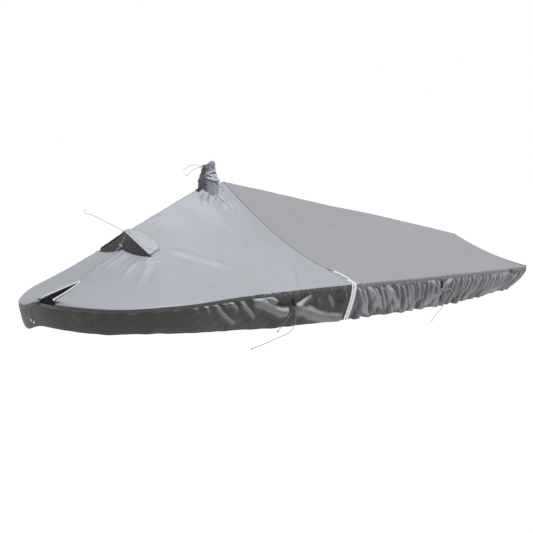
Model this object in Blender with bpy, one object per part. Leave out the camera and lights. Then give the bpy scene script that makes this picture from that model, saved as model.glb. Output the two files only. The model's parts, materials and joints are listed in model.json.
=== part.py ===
"""Tented boat cover: two fore panels, two aft panels, skirts, collar, vent hood and ties.

Every place on the cover is worked out from three numbers: the station, measured aft from
the bow end, the side, which is negative to port, and the height above the level of the
edge. One empty then moves the whole cover, so that the origin lies on the collar's axis,
just under the cloth of the peak. The bow points along -X and +Z is up.
"""

import math
from collections import namedtuple

import bmesh
import bpy
from mathutils import Vector
from mathutils.bvhtree import BVHTree

# ----------------------------------------------------------------------------
# Driving dimensions, in metres
# ----------------------------------------------------------------------------
LENGTH = 4.42                 # bow end to stern end
CLOTH = 0.002                 # thickness of the sewn cloth
GAP = 0.0006                  # space left between two pieces that are sewn or bound together

COLLAR_STATION = 1.25         # axis of the collar
COLLAR_HOLE = 0.050           # radius of the hole in the panels under the collar
ORIGIN_HEIGHT = 0.60          # the origin, under the cloth of the peak

NOSE_SLOT_LENGTH = 0.225      # open slot on the centreline at the bow
NOSE_SLOT_HALF = 0.045        # its half width at the bow end

STARBOARD_SET = 0.045         # the starboard shoulder of the bow hangs this much lower

VENT_STATION = 0.545          # crosswise mouth of the vent
VENT_HALF = 0.234             # half width of the mouth
VENT_DROP = 0.090             # how far its lower lip sags under the upper one
PATCH_LIFT = 0.0044           # the hood lies this high over the panels' inner faces
TAB_LIFT = 0.0030             # and the collar's tab this high

SEAM_START = 1.388            # where the seam of the fore and aft panels leaves the ridge
SLOT_INNER_SIDE = 0.620       # outside this the seam is open: the side slot
SLOT_STATION = 1.790          # where the slot crosses the edge
SLOT_HALF = 0.005             # half width of the slot
SLOT_BELLY = 0.004            # extra half width in the middle of its upper part
BINDING_WIDTH = 0.014         # white bindings of the slots
BINDING = 0.0015              # and their thickness

LIP_DROP = 0.026              # the top cloth turns down over the edge this far
LIP_OUT = 0.007               # and stands this far outside it

# One row for each change in the outline of the edge. The rows crowd towards the blunt
# bow, where root is the square root of station / LENGTH.
EdgeRow = namedtuple("EdgeRow", "root half_width height")
EDGE = (
    EdgeRow(0.00, 0.000, 0.022),
    EdgeRow(0.15, 0.400, 0.020),
    EdgeRow(0.30, 0.632, 0.036),
    EdgeRow(0.45, 0.690, 0.049),
    EdgeRow(0.60, 0.750, 0.047),
    EdgeRow(0.75, 0.803, 0.029),
    EdgeRow(0.88, 0.791, 0.004),
    EdgeRow(1.00, 0.700, -0.035),
)

# The ridge line, and how far the cloth beside it bulges (+) or sags (-) at mid slope.
RidgeRow = namedtuple("RidgeRow", "station height bulge")
RIDGE = (
    RidgeRow(0.000, 0.034, 0.006),
    RidgeRow(0.215, 0.108, 0.020),
    RidgeRow(0.545, 0.372, -0.004),
    RidgeRow(0.691, 0.432, -0.010),
    RidgeRow(1.175, 0.636, -0.026),
    RidgeRow(1.388, 0.672, -0.034),
    RidgeRow(1.800, 0.610, -0.030),
    RidgeRow(2.550, 0.489, -0.026),
    RidgeRow(3.080, 0.415, -0.026),
    RidgeRow(4.000, 0.267, -0.028),
    RidgeRow(4.420, 0.196, -0.030),
)

# Where a line across the cloth that starts on the ridge ends on the edge.
FanRow = namedtuple("FanRow", "ridge_station edge_station")
FAN = (
    FanRow(0.000, 0.0012),
    FanRow(0.215, 0.100),
    FanRow(0.380, 0.320),
    FanRow(0.545, 0.545),
    FanRow(0.850, 0.930),
    FanRow(1.165, 1.440),
    FanRow(SEAM_START, SLOT_STATION),
    FanRow(2.200, 2.450),
    FanRow(4.420, 4.420),
)

# The seam between the fore and aft panels, on its way out from the ridge to the edge.
SeamRow = namedtuple("SeamRow", "side station")
SEAM = (
    SeamRow(0.000, SEAM_START),
    SeamRow(0.210, 1.470),
    SeamRow(0.400, 1.548),
    SeamRow(0.556, 1.646),
    SeamRow(SLOT_INNER_SIDE, 1.704),
    SeamRow(0.700, 1.764),
    SeamRow(0.780, SLOT_STATION),
)

# How far the vent hood reaches aft of the mouth, from its middle (0) out to its ends (1).
HoodRow = namedtuple("HoodRow", "across reach")
HOOD = (
    HoodRow(0.00, 0.036),
    HoodRow(0.30, 0.079),
    HoodRow(0.57, 0.098),
    HoodRow(0.79, 0.109),
    HoodRow(0.94, 0.084),
    HoodRow(1.00, 0.010),
)

# The skirt hangs this deep under the edge, and its hem is drawn in by the tuck. Gather is
# the height of its folds at the hem.
SkirtRow = namedtuple("SkirtRow", "station depth tuck gather")
SKIRT = (
    SkirtRow(0.00, 0.146, 0.020, 0.002),
    SkirtRow(0.20, 0.144, 0.028, 0.003),
    SkirtRow(0.45, 0.168, 0.040, 0.004),
    SkirtRow(0.75, 0.198, 0.048, 0.006),
    SkirtRow(1.10, 0.228, 0.054, 0.010),
    SkirtRow(1.70, 0.242, 0.060, 0.012),
    SkirtRow(2.50, 0.243, 0.070, 0.013),
    SkirtRow(3.30, 0.235, 0.082, 0.014),
    SkirtRow(3.75, 0.220, 0.100, 0.013),
    SkirtRow(4.42, 0.190, 0.125, 0.008),
)

# Webbing loops sewn to the skirt, on each side: the top of each lies this far under the edge.
LoopRow = namedtuple("LoopRow", "name station drop height")
LOOPS = (
    LoopRow("fore", 1.245, 0.056, 0.044),
    LoopRow("mid", 2.820, 0.046, 0.048),
    LoopRow("stern", 4.050, 0.010, 0.034),
)
LOOP_WIDTH = 0.020
LOOP_THICK = 0.0016
LOOP_HOLE = 0.010

# The collar: height of each ring, its radius, and how deep its gathers are.
CollarRow = namedtuple("CollarRow", "height radius pleat")
COLLAR = (
    CollarRow(0.692, 0.0540, 0.0030),
    CollarRow(0.714, 0.0475, 0.0026),
    CollarRow(0.742, 0.0415, 0.0020),
    CollarRow(0.762, 0.0382, 0.0006),
    CollarRow(0.772, 0.0384, 0.0008),
)
COLLAR_FOOT = 0.062           # radius where it stands on the panels
COLLAR_PLEATS = 12
COLLAR_SIDES = 36
COLLAR_TOP = 0.782            # lowest part of the uneven top edge
COLLAR_TAB = 0.024            # height of the tab that stands above it, to port and aft
COLLAR_TIE_HEIGHT = 0.767
COLLAR_TIE_RADIUS = 0.0436
COLLAR_KNOT_TURN = 2.50       # where its knot sits, in radians from aft round by starboard

FINE_CORD = 0.003             # collar tie, vent cord and loose tails
TIE_CORD = 0.0035             # cords from the webbing loops
KNOT = 0.0055                 # radius of a knot

# Press-stud caps on the starboard skirt at the bow.
StudRow = namedtuple("StudRow", "station drop")
STUDS = (StudRow(0.0205, 0.099), StudRow(0.0145, 0.116))
STUD_RADIUS = 0.008
STUD_HEIGHT = 0.003
SEARCH = 0.06                 # how far from its rough place the cloth under a small piece is looked for

# A wire hook, bent in one plane: how far along its cord's way, and how far above it.
HOOK = ((0.0, 0.0), (0.014, 0.001), (0.030, 0.004), (0.048, 0.008), (0.063, 0.006),
        (0.070, -0.002), (0.064, -0.009), (0.052, -0.008))
HOOK_WIRE = 0.003

# Knots that are not beside a webbing loop or the collar, by station, side and height.
KNOTS = {
    "vent_toggle": (0.519, 0.000, 0.304),
    "fore_tie_near_knot": (1.152, -0.684, -0.198),
    "fore_tie_far_knot": (1.320, -0.330, -0.378),
    "mid_tie_knot": (3.060, -0.606, -0.362),
    "mid_hitch": (2.942, -0.758, -0.220),
}
BOW_KNOT_STEP = (0.0084, -0.0068, 0.0015)   # from the knot of the mid loop to its bow's knot

# Free cords. Each starts at one knot or piece, passes the places of its route, given by
# station, side and height, and ends at another knot, or free.
CordRow = namedtuple("CordRow", "name diameter finish first last route")
CORDS = (
    CordRow("collar_tail_high", FINE_CORD, "pale_cord", "collar_knot", None,
            ((1.172, 0.036, 0.778), (1.134, 0.034, 0.778), (1.091, 0.029, 0.765), (1.045, 0.024, 0.742))),
    CordRow("collar_tail_low", FINE_CORD, "pale_cord", "collar_knot", None,
            ((1.176, 0.036, 0.758), (1.140, 0.036, 0.745), (1.112, 0.034, 0.725), (1.088, 0.032, 0.713),
             (1.066, 0.030, 0.722))),
    CordRow("hood_tie", FINE_CORD, "pale_cord", None, None,
            ((0.5504, 0.0, 0.3850), (0.429, 0.0, 0.438), (0.316, 0.0, 0.486))),
    CordRow("vent_cord", FINE_CORD, "pale_cord", "vent_toggle", None,
            ((0.532, 0.0, 0.322), (0.547, 0.0, 0.346), (0.553, 0.0, 0.366), (0.5535, 0.0, 0.3811))),
    CordRow("vent_tail", FINE_CORD, "pale_cord", "vent_toggle", None,
            ((0.508, -0.001, 0.292), (0.496, -0.003, 0.284), (0.480, -0.003, 0.273), (0.463, -0.002, 0.262))),
    CordRow("fore_tie_near", TIE_CORD, "brown_cord", "fore_knot", "fore_tie_near_knot",
            ((1.230, -0.722, -0.094), (1.196, -0.703, -0.146))),
    CordRow("fore_tie_far", TIE_CORD, "brown_cord", "fore_knot", "fore_tie_far_knot",
            ((1.275, -0.726, -0.083), (1.288, -0.712, -0.128), (1.293, -0.696, -0.178),
             (1.292, -0.670, -0.214), (1.300, -0.620, -0.245), (1.335, -0.500, -0.296),
             (1.347, -0.420, -0.334))),
    CordRow("mid_tie", TIE_CORD, "brown_cord", "mid_knot", "mid_tie_knot",
            ((2.843, -0.808, -0.118), (2.893, -0.788, -0.170), (2.936, -0.762, -0.228),
             (2.962, -0.720, -0.268), (2.998, -0.666, -0.314))),
    CordRow("mid_tie_pale", FINE_CORD, "pale_cord", "mid_knot", "mid_hitch",
            ((2.870, -0.812, -0.100), (2.916, -0.796, -0.160))),
    CordRow("mid_tail", FINE_CORD, "pale_cord", "mid_bow_knot", None,
            ((2.852, -0.830, -0.086), (2.896, -0.832, -0.080), (2.940, -0.826, -0.090),
             (2.982, -0.816, -0.112), (3.032, -0.806, -0.138), (3.062, -0.792, -0.172))),
    CordRow("mid_bow", FINE_CORD, "pale_cord", "mid_bow_knot", "mid_bow_knot",
            ((2.842, -0.832, -0.052), (2.885, -0.836, -0.024), (2.912, -0.836, -0.012),
             (2.920, -0.834, -0.020), (2.892, -0.832, -0.040), (2.858, -0.826, -0.064))),
    CordRow("stern_tail", FINE_CORD, "pale_cord", "stern_knot", None,
            ((4.068, -0.768, -0.086), (4.080, -0.766, -0.104), (4.086, -0.758, -0.124))),
)

Finish = namedtuple("Finish", "colour roughness metallic")
FINISHES = {
    "panel_cloth": Finish((0.41, 0.43, 0.47, 1.0), 0.55, 0.0),
    "skirt_cloth": Finish((0.22, 0.22, 0.23, 1.0), 0.65, 0.0),
    "hood_cloth": Finish((0.50, 0.52, 0.55, 1.0), 0.60, 0.0),
    "white_binding": Finish((0.80, 0.81, 0.83, 1.0), 0.60, 0.0),
    "black_webbing": Finish((0.02, 0.02, 0.022, 1.0), 0.75, 0.0),
    "pale_cord": Finish((0.62, 0.61, 0.58, 1.0), 0.70, 0.0),
    "brown_cord": Finish((0.30, 0.27, 0.22, 1.0), 0.75, 0.0),
    "clear_plastic": Finish((0.85, 0.86, 0.88, 1.0), 0.35, 0.0),
    "stud_metal": Finish((0.75, 0.75, 0.76, 1.0), 0.30, 1.0),
}


# ----------------------------------------------------------------------------
# Reading the tables
# ----------------------------------------------------------------------------
def straight(rows, key, column, value):
    """Read a column of a table at a value of the key, straight between its rows."""
    if value <= getattr(rows[0], key):
        return getattr(rows[0], column)
    for low, high in zip(rows, rows[1:]):
        start, end = getattr(low, key), getattr(high, key)
        if value <= end:
            share = (value - start) / (end - start)
            return getattr(low, column) * (1 - share) + getattr(high, column) * share
    return getattr(rows[-1], column)


def slope_at(rows, key, column, index):
    """Slope of a smooth curve through a table's rows, at one row."""
    low = rows[max(index - 1, 0)]
    high = rows[min(index + 1, len(rows) - 1)]
    return (getattr(high, column) - getattr(low, column)) / (getattr(high, key) - getattr(low, key))


def smooth(rows, key, column, value):
    """Read a column of a table on a smooth curve through its rows."""
    value = min(max(value, getattr(rows[0], key)), getattr(rows[-1], key))
    for index, (low, high) in enumerate(zip(rows, rows[1:])):
        start, end = getattr(low, key), getattr(high, key)
        if value <= end:
            span = end - start
            t = (value - start) / span
            first = slope_at(rows, key, column, index) * span
            last = slope_at(rows, key, column, index + 1) * span
            a, b = getattr(low, column), getattr(high, column)
            return ((2 * t**3 - 3 * t**2 + 1) * a + (t**3 - 2 * t**2 + t) * first
                    + (-2 * t**3 + 3 * t**2) * b + (t**3 - t**2) * last)
    return getattr(rows[-1], column)


def ramp(value, start, end):
    """Rise smoothly from 0 at start to 1 at end."""
    t = min(max((value - start) / (end - start), 0.0), 1.0)
    return t * t * (3 - 2 * t)


def spread(start, end, count):
    """Evenly spaced numbers from start to end, both included."""
    return [start + (end - start) * i / (count - 1) for i in range(count)]


# ----------------------------------------------------------------------------
# The form of the cover
# ----------------------------------------------------------------------------
def half_width(station):
    """Half width of the edge at a station."""
    return smooth(EDGE, "root", "half_width", math.sqrt(max(station, 0.0) / LENGTH))


def edge_height(station):
    """Height of the edge at a station."""
    return smooth(EDGE, "root", "height", math.sqrt(max(station, 0.0) / LENGTH))


def vent_dip(station, side):
    """How far the cloth before the vent's mouth sags under the line of the ridge."""
    if station > VENT_STATION:
        return 0.0
    near = max(0.0, (station - NOSE_SLOT_LENGTH) / (VENT_STATION - NOSE_SLOT_LENGTH)) ** 1.5
    reach = VENT_HALF * (0.45 + 0.55 * min(station / VENT_STATION, 1.0))
    across = max(0.0, 1 - (abs(side) / reach) ** 1.4)
    return VENT_DROP * near * across


def starboard_set(station, side):
    """How much lower the starboard bow hangs than the port one."""
    return STARBOARD_SET * ramp(side, 0.06, 0.30) * (1 - ramp(station, 0.12, 0.50))


def top_height(station, side):
    """Height of the inner face of the top cloth over a place in plan."""
    width = max(half_width(station), 0.02)
    share = min(abs(side) / width, 1.0)
    ridge = straight(RIDGE, "station", "height", station)
    bulge = straight(RIDGE, "station", "bulge", station)
    edge = edge_height(station)
    level = ridge + (edge - ridge) * share + 4 * bulge * share * (1 - share)
    return level - starboard_set(station, side)


def top_point(station, side, lower_lip=False):
    """A point on the inner face of the top cloth."""
    height = top_height(station, side)
    if lower_lip:
        height -= vent_dip(station, side)
    return Vector((station, side, height))


def top_normal(station, side):
    """Outward direction of the top cloth."""
    step = 0.004
    along = top_point(station + step, side) - top_point(station - step, side)
    across = top_point(station, side + step) - top_point(station, side - step)
    return along.cross(across).normalized()


def edge_point(station):
    """A point on the port edge."""
    return Vector((station, -half_width(station), edge_height(station)))


def edge_outward(station):
    """Level direction out of the port edge."""
    step = 0.01 if station > 0.05 else 0.2 * station + 0.0005
    ahead, behind = edge_point(max(station - step, 0.0)), edge_point(min(station + step, LENGTH))
    run = behind - ahead
    return Vector((run.y, -run.x, 0.0)).normalized()


def edge_lengths(count=900):
    """Distance along the port edge, at stations that crowd towards the bow."""
    stations = [LENGTH * (i / count) ** 2 for i in range(count + 1)]
    total, lengths = 0.0, [0.0]
    for near, far in zip(stations, stations[1:]):
        total += (edge_point(far) - edge_point(near)).length
        lengths.append(total)
    return stations, lengths


EDGE_STATIONS, EDGE_LENGTHS = edge_lengths()


def station_at(length):
    """Station that lies this far along the port edge from the bow end."""
    for index in range(1, len(EDGE_LENGTHS)):
        if EDGE_LENGTHS[index] >= length:
            share = (length - EDGE_LENGTHS[index - 1]) / (EDGE_LENGTHS[index] - EDGE_LENGTHS[index - 1])
            return EDGE_STATIONS[index - 1] * (1 - share) + EDGE_STATIONS[index] * share
    return LENGTH


def length_at(station):
    """Distance along the port edge from the bow end to a station."""
    for index in range(1, len(EDGE_STATIONS)):
        if EDGE_STATIONS[index] >= station:
            share = (station - EDGE_STATIONS[index - 1]) / (EDGE_STATIONS[index] - EDGE_STATIONS[index - 1])
            return EDGE_LENGTHS[index - 1] * (1 - share) + EDGE_LENGTHS[index] * share
    return EDGE_LENGTHS[-1]


def fold_wave(length):
    """Uneven back-and-forth line of the skirt's folds, between about -1 and 1."""
    bend = 0.9 * math.sin(2.3 * length + 0.4) + 0.5 * math.sin(5.1 * length)
    return 0.72 * math.sin(2 * math.pi * length / 0.130 + bend) + 0.28 * math.sin(2 * math.pi * length / 0.310)


def skirt_quiet(station):
    """0 beside the side slot and at both ends of the skirt, where it lies flat, else 1."""
    by_slot = ramp(abs(station - SLOT_STATION), 0.035, 0.13)
    by_bow = ramp(length_at(station), 0.05, 0.25)
    by_stern = 1 - ramp(station, LENGTH - 0.16, LENGTH - 0.04)
    return by_slot * by_bow * by_stern


def skirt_point(station, share, folded=True):
    """A point on the port skirt, share 0 at its seam under the lip and 1 at its hem."""
    depth = straight(SKIRT, "station", "depth", station)
    tuck = straight(SKIRT, "station", "tuck", station)
    gather = straight(SKIRT, "station", "gather", station)
    drop = LIP_DROP + GAP + (depth - LIP_DROP) * share
    out = LIP_OUT - (tuck + LIP_OUT) * share ** 1.5
    if folded:
        slant = 0.05 * share
        wave = fold_wave(length_at(station) + slant)
        out += gather * wave * ramp(share, 0.12, 0.7) * skirt_quiet(station)
    point = edge_point(station) + edge_outward(station) * out
    point.z -= drop
    return point


def nose_slot_half(station):
    """Half width of the slot on the centreline at the bow."""
    if station >= NOSE_SLOT_LENGTH:
        return 0.0
    return NOSE_SLOT_HALF * (1 - (station / NOSE_SLOT_LENGTH) ** 1.5)


def inner_side(station):
    """How far the inner edge of a fore panel lies from the centreline."""
    hole = COLLAR_HOLE ** 2 - (station - COLLAR_STATION) ** 2
    return max(GAP / 2, nose_slot_half(station), math.sqrt(max(hole, 0.0)))


# ----------------------------------------------------------------------------
# Making solids
# ----------------------------------------------------------------------------
def material(name):
    """The named finish as a Principled material, made once."""
    found = bpy.data.materials.get(name)
    if found:
        return found
    finish = FINISHES[name]
    made = bpy.data.materials.new(name)
    made.use_nodes = True
    shader = made.node_tree.nodes["Principled BSDF"]
    shader.inputs["Base Color"].default_value = finish.colour
    shader.inputs["Roughness"].default_value = finish.roughness
    shader.inputs["Metallic"].default_value = finish.metallic
    made.diffuse_color = finish.colour
    return made


def add_object(name, data, finish, datum):
    """Put a mesh or curve in the scene under the datum, with its material."""
    piece = bpy.data.objects.new(name, data)
    bpy.context.scene.collection.objects.link(piece)
    piece.parent = datum
    data.materials.append(material(finish))
    return piece


def mirrored(grid):
    """The starboard copy of a port grid, still with its outer face outwards."""
    rows = []
    for row in grid:
        rows.append([Vector((p.x, -p.y, p.z - starboard_set(p.x, -p.y))) for p in reversed(row)])
    return rows


def sheet(name, grid, finish, datum, thickness=CLOTH, open_cells=(), closed=False):
    """Cloth of even thickness on a grid of points, which are its inner face.

    Seen from outside to port, the rows follow each other from bow to stern and each row
    runs down from the ridge or the seam.
    """
    bm = bmesh.new()
    verts = [[bm.verts.new(point) for point in row] for row in grid]
    count = len(verts)
    for i in range(count if closed else count - 1):
        for j in range(len(verts[i]) - 1):
            if (i, j) in open_cells:
                continue
            after = verts[(i + 1) % count]
            bm.faces.new((verts[i][j], verts[i][j + 1], after[j + 1], after[j]))
    loose = [v for v in bm.verts if not v.link_faces]
    bmesh.ops.delete(bm, geom=loose, context="VERTS")
    mesh = bpy.data.meshes.new(name)
    bm.to_mesh(mesh)
    bm.free()
    mesh.shade_smooth()
    piece = add_object(name, mesh, finish, datum)
    solidify = piece.modifiers.new("Thickness", "SOLIDIFY")
    solidify.thickness = thickness
    solidify.offset = 1.0
    return piece


def cord(name, route, diameter, finish, datum, points=None):
    """A round cord along a smooth curve through its route."""
    rows = [Vector(p) for p in route]
    lengths = [0.0]
    for near, far in zip(rows, rows[1:]):
        lengths.append(lengths[-1] + (far - near).length)
    count = points or max(6, min(40, int(lengths[-1] / (3 * diameter))))
    curve = bpy.data.curves.new(name, "CURVE")
    curve.dimensions = "3D"
    curve.bevel_depth = diameter / 2
    curve.bevel_resolution = 2
    curve.use_fill_caps = True
    spline = curve.splines.new("POLY")
    spline.points.add(count - 1)
    for index, length in enumerate(spread(0.0, lengths[-1], count)):
        spline.points[index].co = (*along_route(rows, lengths, length), 1.0)
    return add_object(name, curve, finish, datum)


def along_route(rows, lengths, length):
    """Point on a smooth curve through a cord's route, at a length along it."""
    index = 1
    while index < len(rows) - 1 and lengths[index] < length:
        index += 1
    span = lengths[index] - lengths[index - 1]
    t = (length - lengths[index - 1]) / span
    first, last = rows[index - 1], rows[index]
    before = rows[index - 2] if index > 1 else first - (last - first)
    after = rows[index + 1] if index < len(rows) - 1 else last + (last - first)
    out_of = (last - before) / 2
    into = (after - first) / 2
    return ((2 * t**3 - 3 * t**2 + 1) * first + (t**3 - 2 * t**2 + t) * out_of
            + (-2 * t**3 + 3 * t**2) * last + (t**3 - t**2) * into)


def bead(name, centre, radii, finish, datum, segments=10, rings=6):
    """A small rounded solid: a knot, a stud or a toggle."""
    bm = bmesh.new()
    bmesh.ops.create_uvsphere(bm, u_segments=segments, v_segments=rings, radius=1.0)
    bmesh.ops.scale(bm, vec=Vector(radii), verts=bm.verts)
    mesh = bpy.data.meshes.new(name)
    bm.to_mesh(mesh)
    bm.free()
    mesh.shade_smooth()
    piece = add_object(name, mesh, finish, datum)
    piece.location = centre
    return piece


# ----------------------------------------------------------------------------
# The pieces of the cover
# ----------------------------------------------------------------------------
ACROSS = (0.0, 0.09, 0.18, 0.27, 0.357, 0.50, 0.65, 0.80, 0.90, 1.0)
MOUTH_CELLS = 4               # the vent's mouth is open over this many steps of ACROSS
SLOT_STEP = 7                 # the side slot starts at this step
LIP = ((0.45, 0.12), (1.0, 0.42), (1.0, 1.0))     # shares of LIP_OUT and LIP_DROP
DOWN_SKIRT = (0.0, 0.22, 0.60, 1.0)


def lip_points(station):
    """The top cloth's last points, turned down over the port edge."""
    start, outward = edge_point(station), edge_outward(station)
    points = []
    for out, drop in LIP:
        point = start + outward * (LIP_OUT * out)
        point.z -= LIP_DROP * drop
        points.append(point)
    return points


def top_row(inner, outer_station, lower_lip=False, shift=None):
    """One row of a port panel, from its inner point out to the edge and down the lip."""
    outer = Vector((outer_station, -half_width(outer_station)))
    row = []
    for share in ACROSS:
        place = Vector(inner).lerp(outer, share)
        station = place.x + (shift(place.y) if shift else 0.0)
        row.append(top_point(station, place.y, lower_lip))
    return row + lip_points(outer_station)


def fan_row(ridge, lower_lip=False):
    """The row of a port fore panel that starts at a station of its inner edge."""
    edge = straight(FAN, "ridge_station", "edge_station", ridge)
    return top_row((ridge, -inner_side(ridge)), edge, lower_lip)


def nose_stations():
    """Stations of the rows along the slot at the bow."""
    return [0.004] + spread(0.040, NOSE_SLOT_LENGTH, 5)


def bow_stations():
    """Stations, on the ridge, of the rows between the bow and the vent's mouth."""
    return nose_stations() + spread(NOSE_SLOT_LENGTH + 0.06, VENT_STATION - 0.05, 4)


def vent_shift(side):
    """How far an edge of the vent's mouth lies from the mouth's station."""
    return 0.003 + 0.009 * max(0.0, 1 - abs(side) / VENT_HALF)


def fore_rows():
    """Rows of the port fore panel, and the cells left open for the vent's mouth."""
    peak = spread(COLLAR_STATION - COLLAR_HOLE, COLLAR_STATION + COLLAR_HOLE, 6)
    between = spread(VENT_STATION + 0.08, COLLAR_STATION - COLLAR_HOLE - 0.08, 5)
    rows = []
    for ridge in bow_stations():
        rows.append(fan_row(ridge, lower_lip=True))
    inner = (VENT_STATION, -GAP / 2)
    rows.append(top_row(inner, VENT_STATION - 0.003, True, lambda side: -vent_shift(side)))
    mouth = len(rows) - 1
    rows.append(top_row(inner, VENT_STATION + 0.003, False, vent_shift))
    for ridge in between + peak:
        rows.append(fan_row(ridge))
    rows.append(seam_row(-1))
    open_cells = {(mouth, column) for column in range(MOUTH_CELLS)}
    return rows, open_cells


def slot_half(side):
    """Half the space between the fore and aft panels at this distance from the centreline."""
    if side < SLOT_INNER_SIDE:
        return GAP / 2
    return SLOT_HALF + SLOT_BELLY * math.sin(math.pi * ramp(side, SLOT_INNER_SIDE, 0.78))


def seam_side(share):
    """Distance from the centreline at a share of the seam's row, with a step at the slot's start."""
    step = ACROSS[SLOT_STEP]
    if share <= step:
        return SLOT_INNER_SIDE * share / step
    edge = half_width(SLOT_STATION)
    return SLOT_INNER_SIDE + (edge - SLOT_INNER_SIDE) * (share - step) / (1 - step)


def seam_row(way):
    """The row of a port panel along the seam and the side slot, way -1 fore and 1 aft of it."""
    row = []
    for share in ACROSS:
        side = seam_side(share)
        station = smooth(SEAM, "side", "station", side) + way * slot_half(side)
        row.append(top_point(station, -side))
    return row + lip_points(SLOT_STATION + way * SLOT_HALF)


def aft_rows():
    """Rows of the port aft panel, from the seam to the stern end."""
    rows = [seam_row(1)]
    for ridge in (1.58, 1.80, 2.18, 2.55, 2.82, 3.08, 3.40, 3.70, 4.00, 4.21, LENGTH):
        edge = straight(FAN, "ridge_station", "edge_station", ridge)
        rows.append(top_row((ridge, -GAP / 2), edge))
    return rows


def evenly(first, last, count):
    """Stations between two stations, evenly spaced along the edge."""
    return [station_at(length) for length in spread(length_at(first), length_at(last), count)]


def skirt_rows(stations):
    """Rows of a port skirt, one for each station, from its seam down to its hem."""
    return [[skirt_point(station, share) for share in DOWN_SKIRT] for station in stations]


def fore_skirt_stations():
    """Stations of the fore skirt's rows: at the bow they are those of the panel's lip."""
    bow = [straight(FAN, "ridge_station", "edge_station", ridge) for ridge in bow_stations()]
    return [0.5 * GAP ** 2] + bow + evenly(VENT_STATION, SLOT_STATION - SLOT_HALF, 26)


def stern_rows():
    """Rows of the stern panel, from port to starboard, each from its top to its hem."""
    width = half_width(LENGTH) + LIP_OUT
    tuck = straight(SKIRT, "station", "tuck", LENGTH) + LIP_OUT
    depth = straight(SKIRT, "station", "depth", LENGTH)
    hem = edge_height(LENGTH) - depth - GAP
    rows = []
    for across in spread(-1.0, 1.0, 11):
        top = top_height(LENGTH, across * half_width(LENGTH)) + CLOTH
        row = []
        for share in (0.0, 0.25, 0.5, 0.75, 1.0):
            height = top + (hem - top) * share
            below = max(0.0, edge_height(LENGTH) - LIP_DROP - height) / (depth - LIP_DROP)
            side = across * (width - tuck * below ** 1.5)
            row.append(Vector((LENGTH + GAP, side, height)))
        rows.append(row)
    return rows


def collar_rows():
    """Upright rows round the collar, from its top down to its foot on the panels."""
    rows = []
    for index in range(COLLAR_SIDES):
        turn = 2 * math.pi * index / COLLAR_SIDES
        ahead, side = math.cos(turn), math.sin(turn)
        pleat = math.cos(COLLAR_PLEATS * turn + 0.8 * math.sin(2 * turn))
        tab = max(0.0, math.cos(turn + 0.9)) ** 6
        top = COLLAR_TOP + COLLAR_TAB * tab + 0.002 * math.sin(5 * turn)
        rings = [(top, 0.0415 + 0.0015 * pleat)]
        rings += [(row.height, row.radius + row.pleat * pleat) for row in reversed(COLLAR)]
        row = [Vector((COLLAR_STATION + r * ahead, r * side, height)) for height, r in rings]
        foot_x, foot_y = COLLAR_STATION + COLLAR_FOOT * ahead, COLLAR_FOOT * side
        foot = top_height(foot_x, foot_y) + (CLOTH + 2 * GAP) / max(top_normal(foot_x, foot_y).z, 0.3)
        middle = (row[-1].z + foot) / 2 + 0.002
        row.append(Vector((COLLAR_STATION + 0.058 * ahead, 0.058 * side, middle)))
        row.append(Vector((foot_x, foot_y, foot)))
        rows.append(row)
    return rows


def hood_rows():
    """Rows of the vent hood, from port over the ridge to starboard, mouth edge first."""
    rows = []
    for across in spread(-1.0, 1.0, 17):
        side = across * (VENT_HALF - 0.008)
        reach = straight(HOOD, "across", "reach", abs(across))
        row = []
        for share in (0.0, 0.33, 0.67, 1.0):
            station = VENT_STATION + vent_shift(side) - 0.006 + (reach + 0.006) * share
            lift = PATCH_LIFT + 0.004 * math.sin(math.pi * share) + 0.003 * (1 - share)
            row.append(Vector((station, side, top_height(station, side) + lift)))
        rows.append(row)
    return rows


def tab_rows():
    """Rows of the black tab on the ridge, at the fore foot of the collar."""
    rows = []
    for side in spread(-0.017, 0.017, 5):
        row = []
        for station in spread(1.137, 1.178, 3):
            row.append(Vector((station, side, top_height(station, side) + TAB_LIFT)))
        rows.append(row)
    return rows


def lifted(grid, lift):
    """A copy of a grid that stands off its outer face by the lift."""
    rows = []
    for i, row in enumerate(grid):
        after, before = grid[min(i + 1, len(grid) - 1)], grid[max(i - 1, 0)]
        raised = []
        for j, point in enumerate(row):
            along = after[j] - before[j]
            down = row[min(j + 1, len(row) - 1)] - row[max(j - 1, 0)]
            raised.append(point + down.cross(along).normalized() * lift)
        rows.append(raised)
    return rows


def slot_line(way, shift):
    """Points down one side of the port side slot, shifted aft, from its inner end to its hem."""
    station = SLOT_STATION + way * SLOT_HALF + shift
    line = []
    for share in (0.84, ACROSS[-2], 1.0):
        side = seam_side(share)
        line.append(top_point(smooth(SEAM, "side", "station", side) + way * slot_half(side) + shift, -side))
    line += lip_points(station)
    line += [skirt_point(station, share, folded=False) for share in DOWN_SKIRT[1:-1]]
    line.append(skirt_point(station, 0.97, folded=False))
    return line


def binding_rows(way):
    """Rows of one binding of the port side slot, way -1 fore of the slot and 1 aft of it."""
    shifts = (-BINDING_WIDTH, 0.001) if way < 0 else (-0.001, BINDING_WIDTH)
    return lifted([slot_line(way, shift) for shift in shifts], CLOTH + GAP)


def nose_binding_rows():
    """Rows of the port binding along the slot on the centreline."""
    rows = []
    for station in nose_stations():
        inner, outer = fan_row(station, lower_lip=True)[:2]
        share = BINDING_WIDTH / (outer - inner).length
        rows.append([inner.lerp(outer, 0.07 * share), inner.lerp(outer, share)])
    return lifted(rows, CLOTH + 3 * GAP)


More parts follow.
